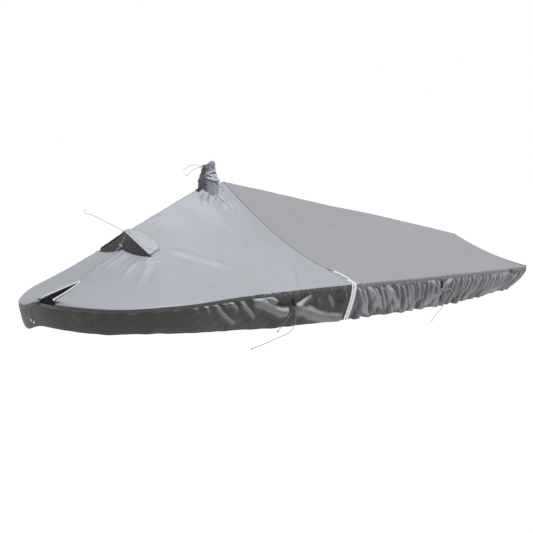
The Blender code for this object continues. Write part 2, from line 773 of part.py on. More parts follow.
def loop_object(name, place, outward, row, datum):
    """A webbing loop: an upright flat ring of band, standing out from the skirt."""
    along = Vector((-outward.y, outward.x, 0.0))
    outer = racetrack(LOOP_HOLE / 2 + LOOP_THICK, row.height)
    inner = racetrack(LOOP_HOLE / 2, row.height)
    bm = bmesh.new()
    rings = []
    for half in (-LOOP_WIDTH / 2, LOOP_WIDTH / 2):
        for outline in (outer, inner):
            points = [place + outward * out + Vector((0, 0, up)) + along * half for out, up in outline]
            rings.append([bm.verts.new(point) for point in points])
    left_out, left_in, right_out, right_in = rings
    for first, second in ((left_out, right_out), (right_in, left_in), (left_in, left_out), (right_out, right_in)):
        for index in range(len(first)):
            after = (index + 1) % len(first)
            bm.faces.new((first[index], first[after], second[after], second[index]))
    bmesh.ops.recalc_face_normals(bm, faces=bm.faces)
    mesh = bpy.data.meshes.new(name)
    bm.to_mesh(mesh)
    bm.free()
    return add_object(name, mesh, "black_webbing", datum)


def racetrack(radius, height):
    """Outline of a flattened loop with round ends, hanging down from the seat."""
    middle = LOOP_HOLE / 2 + LOOP_THICK
    outline = []
    for centre, start in ((-middle, 0.0), (middle - height, math.pi)):
        for step in range(5):
            turn = start + math.pi * step / 4
            outline.append((middle + radius * math.cos(turn), centre + radius * math.sin(turn)))
    return outline


def faces_of(*names):
    """Search trees of the finished faces of pieces of cloth."""
    graph = bpy.context.evaluated_depsgraph_get()
    return [BVHTree.FromObject(bpy.data.objects[name], graph) for name in names]


def hits_at(trees, point, way):
    """Where a line that comes in against the way meets each piece of cloth near a point."""
    start = point + way * SEARCH
    hits = [tree.ray_cast(start, -way, 2 * SEARCH) for tree in trees]
    return [hit for hit in hits if hit[0]]


def loop_seat(row, port):
    """Top of a webbing loop where it is sewn on, just outside the cloth, and its way out."""
    outward = edge_outward(row.station)
    start = edge_point(row.station)
    start.z -= row.drop
    side_name = "port"
    if not port:
        start.y, outward.y = -start.y, -outward.y
        side_name = "starboard"
    panel = "fore" if row.station < SLOT_STATION else "aft"
    trees = faces_of(panel + "_panel_" + side_name, panel + "_skirt_" + side_name)
    along = Vector((-outward.y, outward.x, 0.0))
    outs = []
    for half in (-LOOP_WIDTH / 2, 0.0, LOOP_WIDTH / 2):
        for down in spread(LOOP_HOLE / 2, row.height - LOOP_HOLE / 2, 5):
            point = start + along * half - Vector((0.0, 0.0, down))
            outs += [SEARCH - hit[3] for hit in hits_at(trees, point, outward)]
    return start + outward * (max(outs) + GAP), outward


def loop_knot(row):
    """Centre of the knot under a port webbing loop."""
    start, outward = loop_seat(row, True)
    place = start + outward * (LOOP_HOLE / 2 + LOOP_THICK)
    place.z -= row.height + KNOT + GAP / 2
    return place


def knot_places():
    """Centre of every knot, by name."""
    places = {name: Vector(place) for name, place in KNOTS.items()}
    places["collar_knot"] = collar_place(COLLAR_KNOT_TURN, COLLAR_TIE_RADIUS + KNOT * 0.8)
    for row in LOOPS:
        places[row.name + "_knot"] = loop_knot(row)
    places["mid_bow_knot"] = places["mid_knot"] + Vector(BOW_KNOT_STEP)
    return places


def drawn_up(row, places):
    """A cord's route with its ends drawn up to the knots where it starts or ends."""
    points = [Vector(point) for point in row.route]
    reach = KNOT + GAP / 2
    if row.first:
        knot = places[row.first]
        points.insert(0, knot + (points[0] - knot).normalized() * reach)
    if row.last:
        knot = places[row.last]
        points.append(knot + (points[-1] - knot).normalized() * reach)
    return points


def collar_place(turn, radius):
    """A place round the collar's axis at the height of its tie."""
    return Vector((COLLAR_STATION + radius * math.cos(turn), radius * math.sin(turn), COLLAR_TIE_HEIGHT))


def collar_tie_route():
    """The tie's way round the collar, from one side of its knot to the other."""
    space = 0.9 * KNOT / COLLAR_TIE_RADIUS
    turns = spread(COLLAR_KNOT_TURN + space, COLLAR_KNOT_TURN + 2 * math.pi - space, 36)
    return [collar_place(turn, COLLAR_TIE_RADIUS) for turn in turns]


def hook(name, start, way, datum):
    """A small wire hook with its eye at the start, lying in the upright plane of its way."""
    way = Vector(way).normalized()
    up = Vector((-way.z, 0.0, way.x))
    route = []
    for along, rise in HOOK:
        route.append(Vector(start) + way * along + up * rise)
    return cord(name, route, HOOK_WIRE, "stud_metal", datum)


def stud(name, row, datum):
    """A round press-stud cap on the starboard skirt, set flat on its outer face."""
    outward = edge_outward(row.station)
    depth = straight(SKIRT, "station", "depth", row.station)
    place = skirt_point(row.station, (row.drop - LIP_DROP) / (depth - LIP_DROP))
    place = Vector((place.x, -place.y, place.z - starboard_set(place.x, -place.y)))
    outward = Vector((outward.x, -outward.y, 0.0))
    place, outward = hits_at(faces_of("fore_skirt_starboard"), place, outward)[0][:2]
    bm = bmesh.new()
    bmesh.ops.create_cone(bm, cap_ends=True, segments=12, radius1=STUD_RADIUS,
                          radius2=STUD_RADIUS * 0.7, depth=STUD_HEIGHT)
    turn = outward.to_track_quat("Z", "Y").to_matrix()
    bmesh.ops.rotate(bm, verts=bm.verts, matrix=turn)
    bmesh.ops.translate(bm, verts=bm.verts, vec=place + outward * (GAP + STUD_HEIGHT / 2))
    mesh = bpy.data.meshes.new(name)
    bm.to_mesh(mesh)
    bm.free()
    return add_object(name, mesh, "clear_plastic", datum)


# ----------------------------------------------------------------------------
# Building
# ----------------------------------------------------------------------------
def clear_scene():
    """Remove every object from the scene."""
    for old in list(bpy.data.objects):
        bpy.data.objects.remove(old, do_unlink=True)


def both_sides(name, grid, finish, datum, **options):
    """A port piece and its starboard copy."""
    sheet(name + "_port", grid, finish, datum, **options)
    open_cells = options.pop("open_cells", ())
    columns = len(grid[0]) - 1
    swapped = {(i, columns - 1 - j) for i, j in open_cells}
    sheet(name + "_starboard", mirrored(grid), finish, datum, open_cells=swapped, **options)


def build_cloth(datum):
    """Panels, skirts, stern panel, collar and hood."""
    rows, open_cells = fore_rows()
    both_sides("fore_panel", rows, "panel_cloth", datum, open_cells=open_cells)
    both_sides("aft_panel", aft_rows(), "panel_cloth", datum)
    both_sides("fore_skirt", skirt_rows(fore_skirt_stations()), "skirt_cloth", datum)
    aft_stations = evenly(SLOT_STATION + SLOT_HALF, LENGTH, 82)
    both_sides("aft_skirt", skirt_rows(aft_stations), "skirt_cloth", datum)
    sheet("stern_panel", stern_rows(), "skirt_cloth", datum)
    sheet("collar", collar_rows(), "panel_cloth", datum, closed=True)
    sheet("vent_hood", hood_rows(), "hood_cloth", datum)
    sheet("collar_tab", tab_rows(), "black_webbing", datum)


def build_trim(datum):
    """Bindings of the slots, webbing loops and press-studs."""
    both_sides("slot_binding_fore", binding_rows(-1), "white_binding", datum, thickness=BINDING)
    both_sides("slot_binding_aft", binding_rows(1), "white_binding", datum, thickness=BINDING)
    both_sides("nose_binding", nose_binding_rows(), "white_binding", datum, thickness=BINDING)
    for row in LOOPS:
        loop_object("tie_loop_" + row.name + "_port", *loop_seat(row, True), row, datum)
        loop_object("tie_loop_" + row.name + "_starboard", *loop_seat(row, False), row, datum)
    for number, row in enumerate(STUDS, start=1):
        stud("press_stud_" + str(number), row, datum)


def build_cords(datum):
    """The collar's tie, the cords of the vent, and the cords tied to the port loops."""
    places = knot_places()
    cord("collar_tie", collar_tie_route(), FINE_CORD, "pale_cord", datum)
    for row in CORDS:
        cord(row.name, drawn_up(row, places), row.diameter, row.finish, datum)
    for name, place in places.items():
        finish = "brown_cord" if "tie" in name or name == "fore_knot" else "pale_cord"
        bead(name, place, (KNOT, KNOT, KNOT), finish, datum)
    tie = next(row for row in CORDS if row.name == "hood_tie")
    start, before = Vector(tie.route[-1]), Vector(tie.route[-2])
    way = (start - before).normalized()
    hook("hood_hook", start + way * GAP, way, datum)


def main():
    """Build the whole cover under one datum."""
    clear_scene()
    datum = bpy.data.objects.new("datum", None)
    bpy.context.scene.collection.objects.link(datum)
    datum.location = (-COLLAR_STATION, 0.0, -ORIGIN_HEIGHT)
    build_cloth(datum)
    build_trim(datum)
    build_cords(datum)


main()
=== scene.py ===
"""Looks of the tented boat cover: cloth with its folds, bindings, loops, ties and finishes.

Places on the cover are given as in its construction: station, measured aft from the bow
end, side, negative to port, and height. The frame's origin lies at DATUM in those terms.
"""

import json
import logging
import math
from dataclasses import dataclass, field
from enum import Enum
from typing import Callable, Optional, Sequence

import bpy
import numpy as np
from bpy.types import ID, Material, Mesh, Node, NodeSocket, NodeTree, Object, bpy_prop_collection
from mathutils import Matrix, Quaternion, Vector

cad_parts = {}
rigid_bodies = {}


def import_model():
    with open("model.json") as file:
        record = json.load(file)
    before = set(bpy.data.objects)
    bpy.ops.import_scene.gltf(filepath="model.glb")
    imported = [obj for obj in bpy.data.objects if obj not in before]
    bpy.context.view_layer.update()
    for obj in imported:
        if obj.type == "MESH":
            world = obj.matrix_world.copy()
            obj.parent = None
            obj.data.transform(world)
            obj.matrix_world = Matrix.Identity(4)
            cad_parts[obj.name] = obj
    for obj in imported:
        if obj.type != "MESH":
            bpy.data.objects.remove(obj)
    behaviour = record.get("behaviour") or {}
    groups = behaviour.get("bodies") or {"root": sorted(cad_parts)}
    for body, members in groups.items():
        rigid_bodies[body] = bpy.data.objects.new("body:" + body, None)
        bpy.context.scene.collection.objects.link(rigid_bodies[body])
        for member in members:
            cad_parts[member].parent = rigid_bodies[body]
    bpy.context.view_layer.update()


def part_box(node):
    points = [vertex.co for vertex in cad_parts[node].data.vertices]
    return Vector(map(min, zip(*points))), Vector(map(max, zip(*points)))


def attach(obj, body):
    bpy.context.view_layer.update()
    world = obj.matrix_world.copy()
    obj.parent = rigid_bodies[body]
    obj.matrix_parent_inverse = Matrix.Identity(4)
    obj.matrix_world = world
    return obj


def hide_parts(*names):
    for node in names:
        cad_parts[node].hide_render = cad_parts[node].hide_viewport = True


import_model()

Array = np.ndarray
Colour = tuple[float, float, float]
Place = tuple[float, float, float]
Pair = tuple[float, float]

DATUM = (1.25, 0.0, 0.60)
ROOT = "root"
UP = (0.0, 0.0, 1.0)
SLANT = (0.31, 0.47, 0.83)  # a direction that no cord's run follows
LOOP_STATIONS = (("fore", 1.245), ("mid", 2.820), ("stern", 4.050))
log = logging.getLogger("boat_cover")


class Hand(Enum):
    """The side of the cover that a piece is on."""

    PORT = "port"
    STARBOARD = "starboard"


# ---- Small curves ----
def smooth(keys: Sequence[float], values: Sequence[float], at: Array) -> Array:
    """Read a table on a smooth curve through its rows.

    Args:
        keys: the table's rising key column.
        values: the column to read.
        at: where to read it.

    Returns:
        The column's value at each place.
    """
    keys, values = np.asarray(keys, float), np.asarray(values, float)
    last = len(keys) - 1
    high, low = np.minimum(np.arange(last + 1) + 1, last), np.maximum(np.arange(last + 1) - 1, 0)
    slopes = (values[high] - values[low]) / (keys[high] - keys[low])
    at = np.clip(np.asarray(at, float), keys[0], keys[-1])
    i = np.clip(np.searchsorted(keys, at, side="left") - 1, 0, last - 1)
    span = keys[i + 1] - keys[i]
    t = (at - keys[i]) / span
    return ((2 * t**3 - 3 * t**2 + 1) * values[i] + (t**3 - 2 * t**2 + t) * slopes[i] * span
            + (3 * t**2 - 2 * t**3) * values[i + 1] + (t**3 - t**2) * slopes[i + 1] * span)


def ramp(value: Array, start: float, end: float) -> Array:
    """Rise smoothly from 0 at start to 1 at end."""
    t = np.clip((np.asarray(value, float) - start) / (end - start), 0.0, 1.0)
    return t * t * (3 - 2 * t)


def bell(value: Array, width: float) -> Array:
    """A soft hump, 1 at zero, that has died away at twice its width."""
    return np.exp(-(np.asarray(value, float) / width) ** 2)


def unit(vectors: Array) -> Array:
    """The same directions at length 1."""
    return vectors / np.maximum(np.linalg.norm(vectors, axis=-1, keepdims=True), 1e-12)


def route_points(route: Sequence[Place], steps: int = 8) -> Array:
    """Points on a smooth curve through a route.

    Args:
        route: the places that the curve passes.
        steps: how many points each stretch between two places gets.

    Returns:
        The points, first and last place included.
    """
    rows = np.asarray(route, float)
    before = np.vstack([2 * rows[:1] - rows[1:2], rows[:-2]])
    after = np.vstack([rows[2:], 2 * rows[-1:] - rows[-2:-1]])
    points = []
    for a, first, last, b in zip(before, rows[:-1], rows[1:], after):
        for t in np.arange(steps) / steps:
            points.append((2 * t**3 - 3 * t**2 + 1) * first + (t**3 - 2 * t**2 + t) * (last - a) / 2
                          + (3 * t**2 - 2 * t**3) * last + (t**3 - t**2) * (b - first) / 2)
    return np.array(points + [rows[-1]])


def waves(u: Array, v: Array, seed: int, size: float, count: int = 7) -> Array:
    """Soft uneven waves between about -1 and 1 over a surface.

    Args:
        u: first coordinate of each point, in metres.
        v: second coordinate.
        seed: picks one pattern.
        size: usual length of a wave.
        count: how many waves are added up.

    Returns:
        The waves' height at each point.
    """
    rng = np.random.default_rng(seed)
    total = np.zeros(np.broadcast(u, v).shape)
    for _ in range(count):
        turn = rng.uniform(0, np.pi)
        length = size * rng.uniform(0.6, 1.6)
        phase = rng.uniform(0, 2 * np.pi)
        total += np.sin(2 * np.pi * (u * math.cos(turn) + v * math.sin(turn)) / length + phase)
    return total / math.sqrt(count)


@dataclass(frozen=True)
class Ripple:
    """Soft uneven waves of one height and one usual length."""

    height: float
    size: float

    def lift(self, u: Array, v: Array, seed: int) -> Array:
        """How far the waves lift the cloth at each point."""
        return self.height * waves(u, v, seed, self.size)


# ---- The form of the cover ----
@dataclass(frozen=True)
class CoverForm:
    """The cover's form, worked out from the same tables as its construction, in metres."""

    length: float = 4.42
    cloth: float = 0.002
    gap: float = 0.0006
    collar_station: float = 1.25
    collar_hole: float = 0.050
    nose_slot_length: float = 0.225
    nose_slot_half: float = 0.045
    starboard_drop: float = 0.045
    starboard_sides: tuple = (0.06, 0.30)
    starboard_stations: tuple = (0.12, 0.50)
    vent_station: float = 0.545
    vent_half: float = 0.234
    vent_drop: float = 0.090
    vent_reach: tuple = (0.45, 0.55)
    vent_across_power: float = 1.4
    mouth_corner: float = 0.003
    mouth_middle: float = 0.009
    slot_inner_side: float = 0.620
    slot_station: float = 1.790
    slot_half_width: float = 0.005
    slot_belly: float = 0.004
    slot_belly_end: float = 0.78
    lip_drop: float = 0.026
    lip_out: float = 0.007
    edge_root: tuple = (0.00, 0.15, 0.30, 0.45, 0.60, 0.75, 0.88, 1.00)
    edge_half_width: tuple = (0.000, 0.400, 0.632, 0.690, 0.750, 0.803, 0.791, 0.700)
    edge_level: tuple = (0.022, 0.020, 0.036, 0.049, 0.047, 0.029, 0.004, -0.035)
    ridge_station: tuple = (0.0, 0.215, 0.545, 0.691, 1.175, 1.388, 1.8, 2.55, 3.08, 4.0, 4.42)
    ridge_level: tuple = (0.034, 0.108, 0.372, 0.432, 0.636, 0.672, 0.610, 0.489, 0.415, 0.267, 0.196)
    ridge_bulge: tuple = (0.006, 0.020, -0.004, -0.010, -0.026, -0.034, -0.030, -0.026, -0.026, -0.028,
                          -0.030)
    fan_ridge: tuple = (0.0, 0.215, 0.380, 0.545, 0.850, 1.165, 1.388, 2.200, 4.420)
    fan_edge: tuple = (0.0012, 0.100, 0.320, 0.545, 0.930, 1.440, 1.790, 2.450, 4.420)
    seam_out: tuple = (0.0, 0.210, 0.400, 0.556, 0.620, 0.700, 0.780)
    seam_station: tuple = (1.388, 1.470, 1.548, 1.646, 1.704, 1.764, 1.790)
    skirt_station: tuple = (0.0, 0.2, 0.45, 0.75, 1.10, 1.70, 2.50, 3.30, 3.75, 4.42)
    skirt_depth: tuple = (0.146, 0.144, 0.168, 0.198, 0.228, 0.242, 0.243, 0.235, 0.220, 0.190)
    skirt_tuck: tuple = (0.020, 0.028, 0.040, 0.048, 0.054, 0.060, 0.070, 0.082, 0.100, 0.125)
    skirt_gather: tuple = (0.002, 0.003, 0.004, 0.006, 0.010, 0.012, 0.013, 0.014, 0.013, 0.008)
    slot_share: float = 0.80

    def half_width(self, station: Array) -> Array:
        """Half width of the edge at each station."""
        return smooth(self.edge_root, self.edge_half_width, np.sqrt(np.maximum(station, 0.0) / self.length))

    def edge_height(self, station: Array) -> Array:
        """Height of the edge at each station."""
        return smooth(self.edge_root, self.edge_level, np.sqrt(np.maximum(station, 0.0) / self.length))

    def vent_dip(self, station: Array, side: Array) -> Array:
        """How far the cloth before the vent's mouth sags.

        Args:
            station: station of each point.
            side: side of each point.

        Returns:
            The sag at each point.
        """
        sagging = self.vent_station - self.nose_slot_length
        near = np.clip((station - self.nose_slot_length) / sagging, 0, None)
        least, more = self.vent_reach
        reach = self.vent_half * (least + more * np.minimum(station / self.vent_station, 1.0))
        across = np.maximum(0.0, 1 - (np.abs(side) / reach) ** self.vent_across_power)
        return np.where(station > self.vent_station, 0.0, self.vent_drop * near**1.5 * across)

    def mouth_shift(self, side: Array) -> Array:
        """How far each edge of the vent's mouth lies from the mouth's own station."""
        return self.mouth_corner + self.mouth_middle * np.maximum(0.0, 1 - np.abs(side) / self.vent_half)

    def starboard_set(self, station: Array, side: Array) -> Array:
        """How much lower the starboard bow hangs."""
        outboard = ramp(side, *self.starboard_sides)
        return self.starboard_drop * outboard * (1 - ramp(station, *self.starboard_stations))

    def top(self, station: Array, side: Array, lower_lip: bool = False) -> Array:
        """Points on the inner face of the top cloth.

        Args:
            station: station of each point.
            side: side of each point.
            lower_lip: whether the cloth before the vent's mouth sags.

        Returns:
            The points, in the last axis.
        """
        station, side = np.broadcast_arrays(np.asarray(station, float), np.asarray(side, float))
        share = np.minimum(np.abs(side) / np.maximum(self.half_width(station), 0.02), 1.0)
        ridge = np.interp(station, self.ridge_station, self.ridge_level)
        bulge = np.interp(station, self.ridge_station, self.ridge_bulge)
        level = ridge + (self.edge_height(station) - ridge) * share + 4 * bulge * share * (1 - share)
        level = level - self.starboard_set(station, side)
        if lower_lip:
            level = level - self.vent_dip(station, side)
        return np.stack([station, side, level], axis=-1)

    def edge_point(self, station: Array) -> Array:
        """Points on the port edge."""
        station = np.asarray(station, float)
        return np.stack([station, -self.half_width(station), self.edge_height(station)], axis=-1)

    def edge_outward(self, station: Array) -> Array:
        """Level directions out of the port edge.

        Args:
            station: stations on the edge.

        Returns:
            A direction of length 1 at each station.
        """
        station = np.asarray(station, float)
        step = np.where(station > 0.05, 0.01, 0.2 * station + 0.0005)  # shorter where the bow end turns
        run = (self.edge_point(np.minimum(station + step, self.length))
               - self.edge_point(np.maximum(station - step, 0.0)))
        return unit(np.stack([run[..., 1], -run[..., 0], np.zeros(station.shape)], axis=-1))

    def edge_ruler(self) -> tuple[Array, Array]:
        """Measure the port edge.

        Returns:
            Stations along the edge, and the distance of each from the bow end.
        """
        stations = self.length * (np.arange(901) / 900) ** 2
        steps = np.linalg.norm(np.diff(self.edge_point(stations), axis=0), axis=1)
        return stations, np.concatenate([[0.0], np.cumsum(steps)])

    def length_at(self, station: Array) -> Array:
        """Distance along the port edge to each station."""
        stations, lengths = self.edge_ruler()
        return np.interp(station, stations, lengths)

    def station_at(self, length: Array) -> Array:
        """Station at each distance along the port edge."""
        stations, lengths = self.edge_ruler()
        return np.interp(length, lengths, stations)

    def nose_half(self, station: Array) -> Array:
        """Half the width of the bow slot at each station."""
        return self.nose_slot_half * (1 - np.minimum(station / self.nose_slot_length, 1.0) ** 1.5)

    def slot_half(self, out: Array) -> Array:
        """Half the space between the fore and aft panels, out from the centreline."""
        belly = self.slot_belly * np.sin(np.pi * ramp(out, self.slot_inner_side, self.slot_belly_end))
        return np.where(out < self.slot_inner_side, self.gap / 2, self.slot_half_width + belly)

    def before_stern(self, station: Array) -> Array:
        """1 along the cover, falling to 0 just before the stern's edge."""
        return 1 - ramp(station, self.length - 0.05, self.length - 0.008)

    def seam_at(self, out: Array) -> Array:
        """Station of the seam between the fore and aft panels, out from the centreline."""
        return smooth(self.seam_out, self.seam_station, out)

    def seam_side(self, share: Array) -> Array:
        """Distance from the centreline along the seam's row.

        Args:
            share: shares of the row, from the ridge to the edge.

        Returns:
            The distance at each share.
        """
        edge = self.half_width(np.array(self.slot_station))
        inner = self.slot_inner_side * share / self.slot_share
        beyond = (share - self.slot_share) / (1 - self.slot_share)
        outer = self.slot_inner_side + (edge - self.slot_inner_side) * beyond
        return np.where(share <= self.slot_share, inner, outer)

    def lip(self, station: Array, shares: Array) -> Array:
        """Points where the top cloth turns down over the port edge.

        Args:
            station: stations, one for each row.
            shares: how far down the lip, from 0 to 1, one for each column.

        Returns:
            A grid of points.
        """
        out = self.lip_out * np.sin(np.pi / 2 * np.minimum(shares / 0.5, 1.0))
        drop = self.lip_drop * (0.75 * shares**1.6 + 0.25 * shares)
        points = self.edge_point(station)[:, None] + self.edge_outward(station)[:, None] * out[None, :, None]
        points[..., 2] -= drop[None, :]
        return points

    def skirt_out(self, station: Array, drop: Array) -> Array:
        """Hang the skirt without its folds.

        Args:
            station: station of each point.
            drop: how far it lies under the edge.

        Returns:
            How far out of the edge each point hangs.
        """
        depth = np.interp(station, self.skirt_station, self.skirt_depth)
        tuck = np.interp(station, self.skirt_station, self.skirt_tuck)
        share = np.clip((drop - self.lip_drop) / (depth - self.lip_drop), 0.0, 1.1)
        return self.lip_out - (tuck + self.lip_out) * share**1.5


FORM = CoverForm()


def starboard_of(grid: Array) -> Array:
    """Turn a port grid into its starboard copy, still with its outer face outwards.

    Args:
        grid: the port grid.

    Returns:
        The starboard grid.
    """
    turned = grid[:, ::-1].copy()
    turned[..., 1] *= -1
    turned[..., 2] -= FORM.starboard_set(turned[..., 0], turned[..., 1])
    return turned


def grid_normals(grid: Array) -> Array:
    """Outward direction at each point of a port grid."""
    return unit(np.cross(np.gradient(grid, axis=1), np.gradient(grid, axis=0)))


# ---- Folds ----
@dataclass(frozen=True)
class Crease:
    """One soft ridge, or with a negative height a trough, along a line on the cloth."""

    route: tuple[Pair, ...]
    height: float
    width: float
    fade: float = 0.3

    def lift(self, u: Array, v: Array) -> Array:
        """How far the crease lifts the cloth at each point.

        Args:
            u: first coordinate of the points, as in the route.
            v: second coordinate.

        Returns:
            The lift, in metres.
        """
        line = route_points(self.route, 5)
        steps = np.diff(line, axis=0)
        lengths = np.linalg.norm(steps, axis=1)
        starts = np.concatenate([[0.0], np.cumsum(lengths)[:-1]])
        nearest, where = np.full(u.shape, 1e9), np.zeros(u.shape)
        for start, step, length, passed in zip(line, steps, lengths, starts):
            t = np.clip(((u - start[0]) * step[0] + (v - start[1]) * step[1]) / length**2, 0, 1)
            far = np.hypot(u - start[0] - t * step[0], v - start[1] - t * step[1])
            where = np.where(far < nearest, (passed + t * length) / lengths.sum(), where)
            nearest = np.minimum(far, nearest)
        ends = ramp(where, 0, self.fade) * ramp(1 - where, 0, self.fade)
        return self.height * bell(nearest, self.width) * ends


@dataclass(frozen=True)
class Gathers:
    """A run of uneven folds that hang from the edge."""

    seed: int
    first: float
    last: float
    spacing: Pair
    height: Pair
    width: Pair
    start: Pair
    end: Pair
    lean: tuple[Pair, ...]
    lean_spread: float = 0.12
    bend_spread: float = 0.25
    lopsided: float = 0.35
    full_drop: float = 0.24

    def lift(self, length: Array, drop: Array) -> Array:
        """How far the folds stand out at each point of a skirt.

        Args:
            length: distance of the points along the edge.
            drop: how far they lie under it.

        Returns:
            The lift, in metres.
        """
        rng = np.random.default_rng(self.seed)
        total = np.zeros(length.shape)
        at, stop = float(FORM.length_at(self.first)), float(FORM.length_at(self.last))
        stations, leans = zip(*self.lean)
        while at < stop:
            lean = np.interp(float(FORM.station_at(at)), stations, leans) + rng.normal() * self.lean_spread
            height, width = rng.uniform(*self.height), rng.uniform(*self.width)
            start, end = rng.uniform(*self.start), rng.uniform(*self.end)
            bend = rng.normal() * self.bend_spread
            line = at + lean * (drop - start) + bend * (drop - start) ** 2
            off = (length - line) / (width * (0.75 + 0.5 * np.clip(drop / self.full_drop, 0, 1)))
            steeper_side = 1 if rng.uniform() > 0.35 else -1
            steep = 1 + self.lopsided * np.tanh(2.2 * off) * steeper_side
            begun, over = ramp(drop, start - 0.004, start + 0.035), ramp(drop, end - 0.05, end)
            total += height * np.exp(-off**2) * steep * begun * (1 - over)
            at += rng.uniform(*self.spacing)
        return total


PANEL_CREASES = (
    Crease(((0.656, -0.216), (0.749, -0.304), (0.851, -0.400), (1.015, -0.538)), 0.0065, 0.020),
    Crease(((0.640, -0.245), (0.735, -0.338), (0.840, -0.440), (1.000, -0.575)), -0.0030, 0.024),
    Crease(((0.507, -0.269), (0.426, -0.301), (0.317, -0.367)), 0.0060, 0.016),
    Crease(((0.530, -0.295), (0.450, -0.335), (0.350, -0.405)), -0.0035, 0.016),
    Crease(((0.680, -0.024), (0.771, -0.021), (0.853, -0.030)), 0.0040, 0.009),
    Crease(((0.755, -0.012), (0.737, -0.054), (0.705, -0.093)), 0.0035, 0.008),
    Crease(((0.675, -0.048), (0.772, -0.046), (0.814, -0.045)), 0.0030, 0.007),
    Crease(((0.660, -0.075), (0.720, -0.082), (0.770, -0.080)), -0.0025, 0.009),
    Crease(((1.410, -0.571), (1.353, -0.638), (1.291, -0.714)), 0.0075, 0.012),
    Crease(((1.430, -0.590), (1.378, -0.655), (1.318, -0.728)), -0.0060, 0.012),
    Crease(((1.286, -0.532), (1.262, -0.585), (1.234, -0.633)), -0.0035, 0.012),
    Crease(((1.461, -0.637), (1.378, -0.689), (1.324, -0.724)), -0.0040, 0.010),
    Crease(((1.628, -0.642), (1.673, -0.680), (1.687, -0.725)), -0.0040, 0.010),
    Crease(((1.560, -0.600), (1.600, -0.660), (1.610, -0.725)), 0.0030, 0.012),
    Crease(((0.641, -0.456), (0.824, -0.557), (1.016, -0.657)), 0.0025, 0.020),
    Crease(((0.780, -0.230), (0.930, -0.390), (1.150, -0.560)), 0.0022, 0.030),
    Crease(((0.470, -0.420), (0.620, -0.500), (0.800, -0.610)), -0.0022, 0.025),
)
LOWER_LIP_CREASES = (
    Crease(((0.484, -0.032), (0.332, -0.003), (0.254, -0.001)), 0.0050, 0.012),
    Crease(((0.547, -0.051), (0.434, -0.061), (0.317, -0.060)), 0.0070, 0.013, 0.2),
    Crease(((0.535, -0.092), (0.430, -0.115), (0.330, -0.140)), -0.0060, 0.016, 0.2),
    Crease(((0.492, -0.184), (0.394, -0.212), (0.314, -0.236)), 0.0055, 0.014),
    Crease(((0.520, -0.150), (0.430, -0.172), (0.345, -0.195)), -0.0040, 0.014, 0.2),
    Crease(((0.540, -0.220), (0.500, -0.250), (0.455, -0.285)), 0.0050, 0.010),
)
COLLAR_CREASES = (
    Crease(((1.219, -0.030), (1.175, -0.053), (1.128, -0.082)), 0.0070, 0.0085, 0.35),
    Crease(((1.262, -0.044), (1.229, -0.066), (1.185, -0.097)), 0.0075, 0.0085, 0.35),
    Crease(((1.240, -0.052), (1.203, -0.072), (1.155, -0.104)), -0.0045, 0.0090, 0.35),
    Crease(((1.322, -0.030), (1.336, -0.057), (1.340, -0.080)), 0.0050, 0.0080, 0.35),
    Crease(((1.293, -0.054), (1.284, -0.116), (1.262, -0.176)), 0.0060, 0.0100, 0.35),
    Crease(((1.278, -0.056), (1.258, -0.110), (1.225, -0.160)), -0.0040, 0.0100, 0.35),
    Crease(((1.191, -0.022), (1.150, -0.034), (1.105, -0.048)), 0.0050, 0.0085, 0.35),
    Crease(((1.200, -0.036), (1.150, -0.056), (1.098, -0.084)), -0.0040, 0.0085, 0.35),
    Crease(((1.308, -0.048), (1.322, -0.110), (1.322, -0.190)), 0.0035, 0.0120, 0.35),
    Crease(((1.316, -0.042), (1.360, -0.120), (1.385, -0.230)), 0.0030, 0.0140, 0.35),
)
AFT_CREASES = (
    Crease(((4.030, -0.020), (4.148, -0.164), (4.204, -0.293), (4.395, -0.428)), 0.0075, 0.020, 0.2),
    Crease(((4.000, -0.060), (4.100, -0.200), (4.170, -0.330), (4.330, -0.480)), -0.0035, 0.026),
    Crease(((3.221, -0.097), (3.324, -0.273), (3.420, -0.440)), 0.0040, 0.030),
    Crease(((3.060, -0.030), (3.260, -0.260), (3.480, -0.520)), -0.0030, 0.040),
    Crease(((1.879, -0.729), (2.050, -0.736), (2.274, -0.771)), 0.0035, 0.012),
    Crease(((1.810, -0.746), (1.923, -0.745), (2.091, -0.773)), -0.0030, 0.010),
    Crease(((2.571, -0.617), (2.959, -0.631), (3.536, -0.648)), 0.0025, 0.025),
    Crease(((3.600, -0.690), (3.900, -0.650), (4.200, -0.600)), 0.0028, 0.020),
)
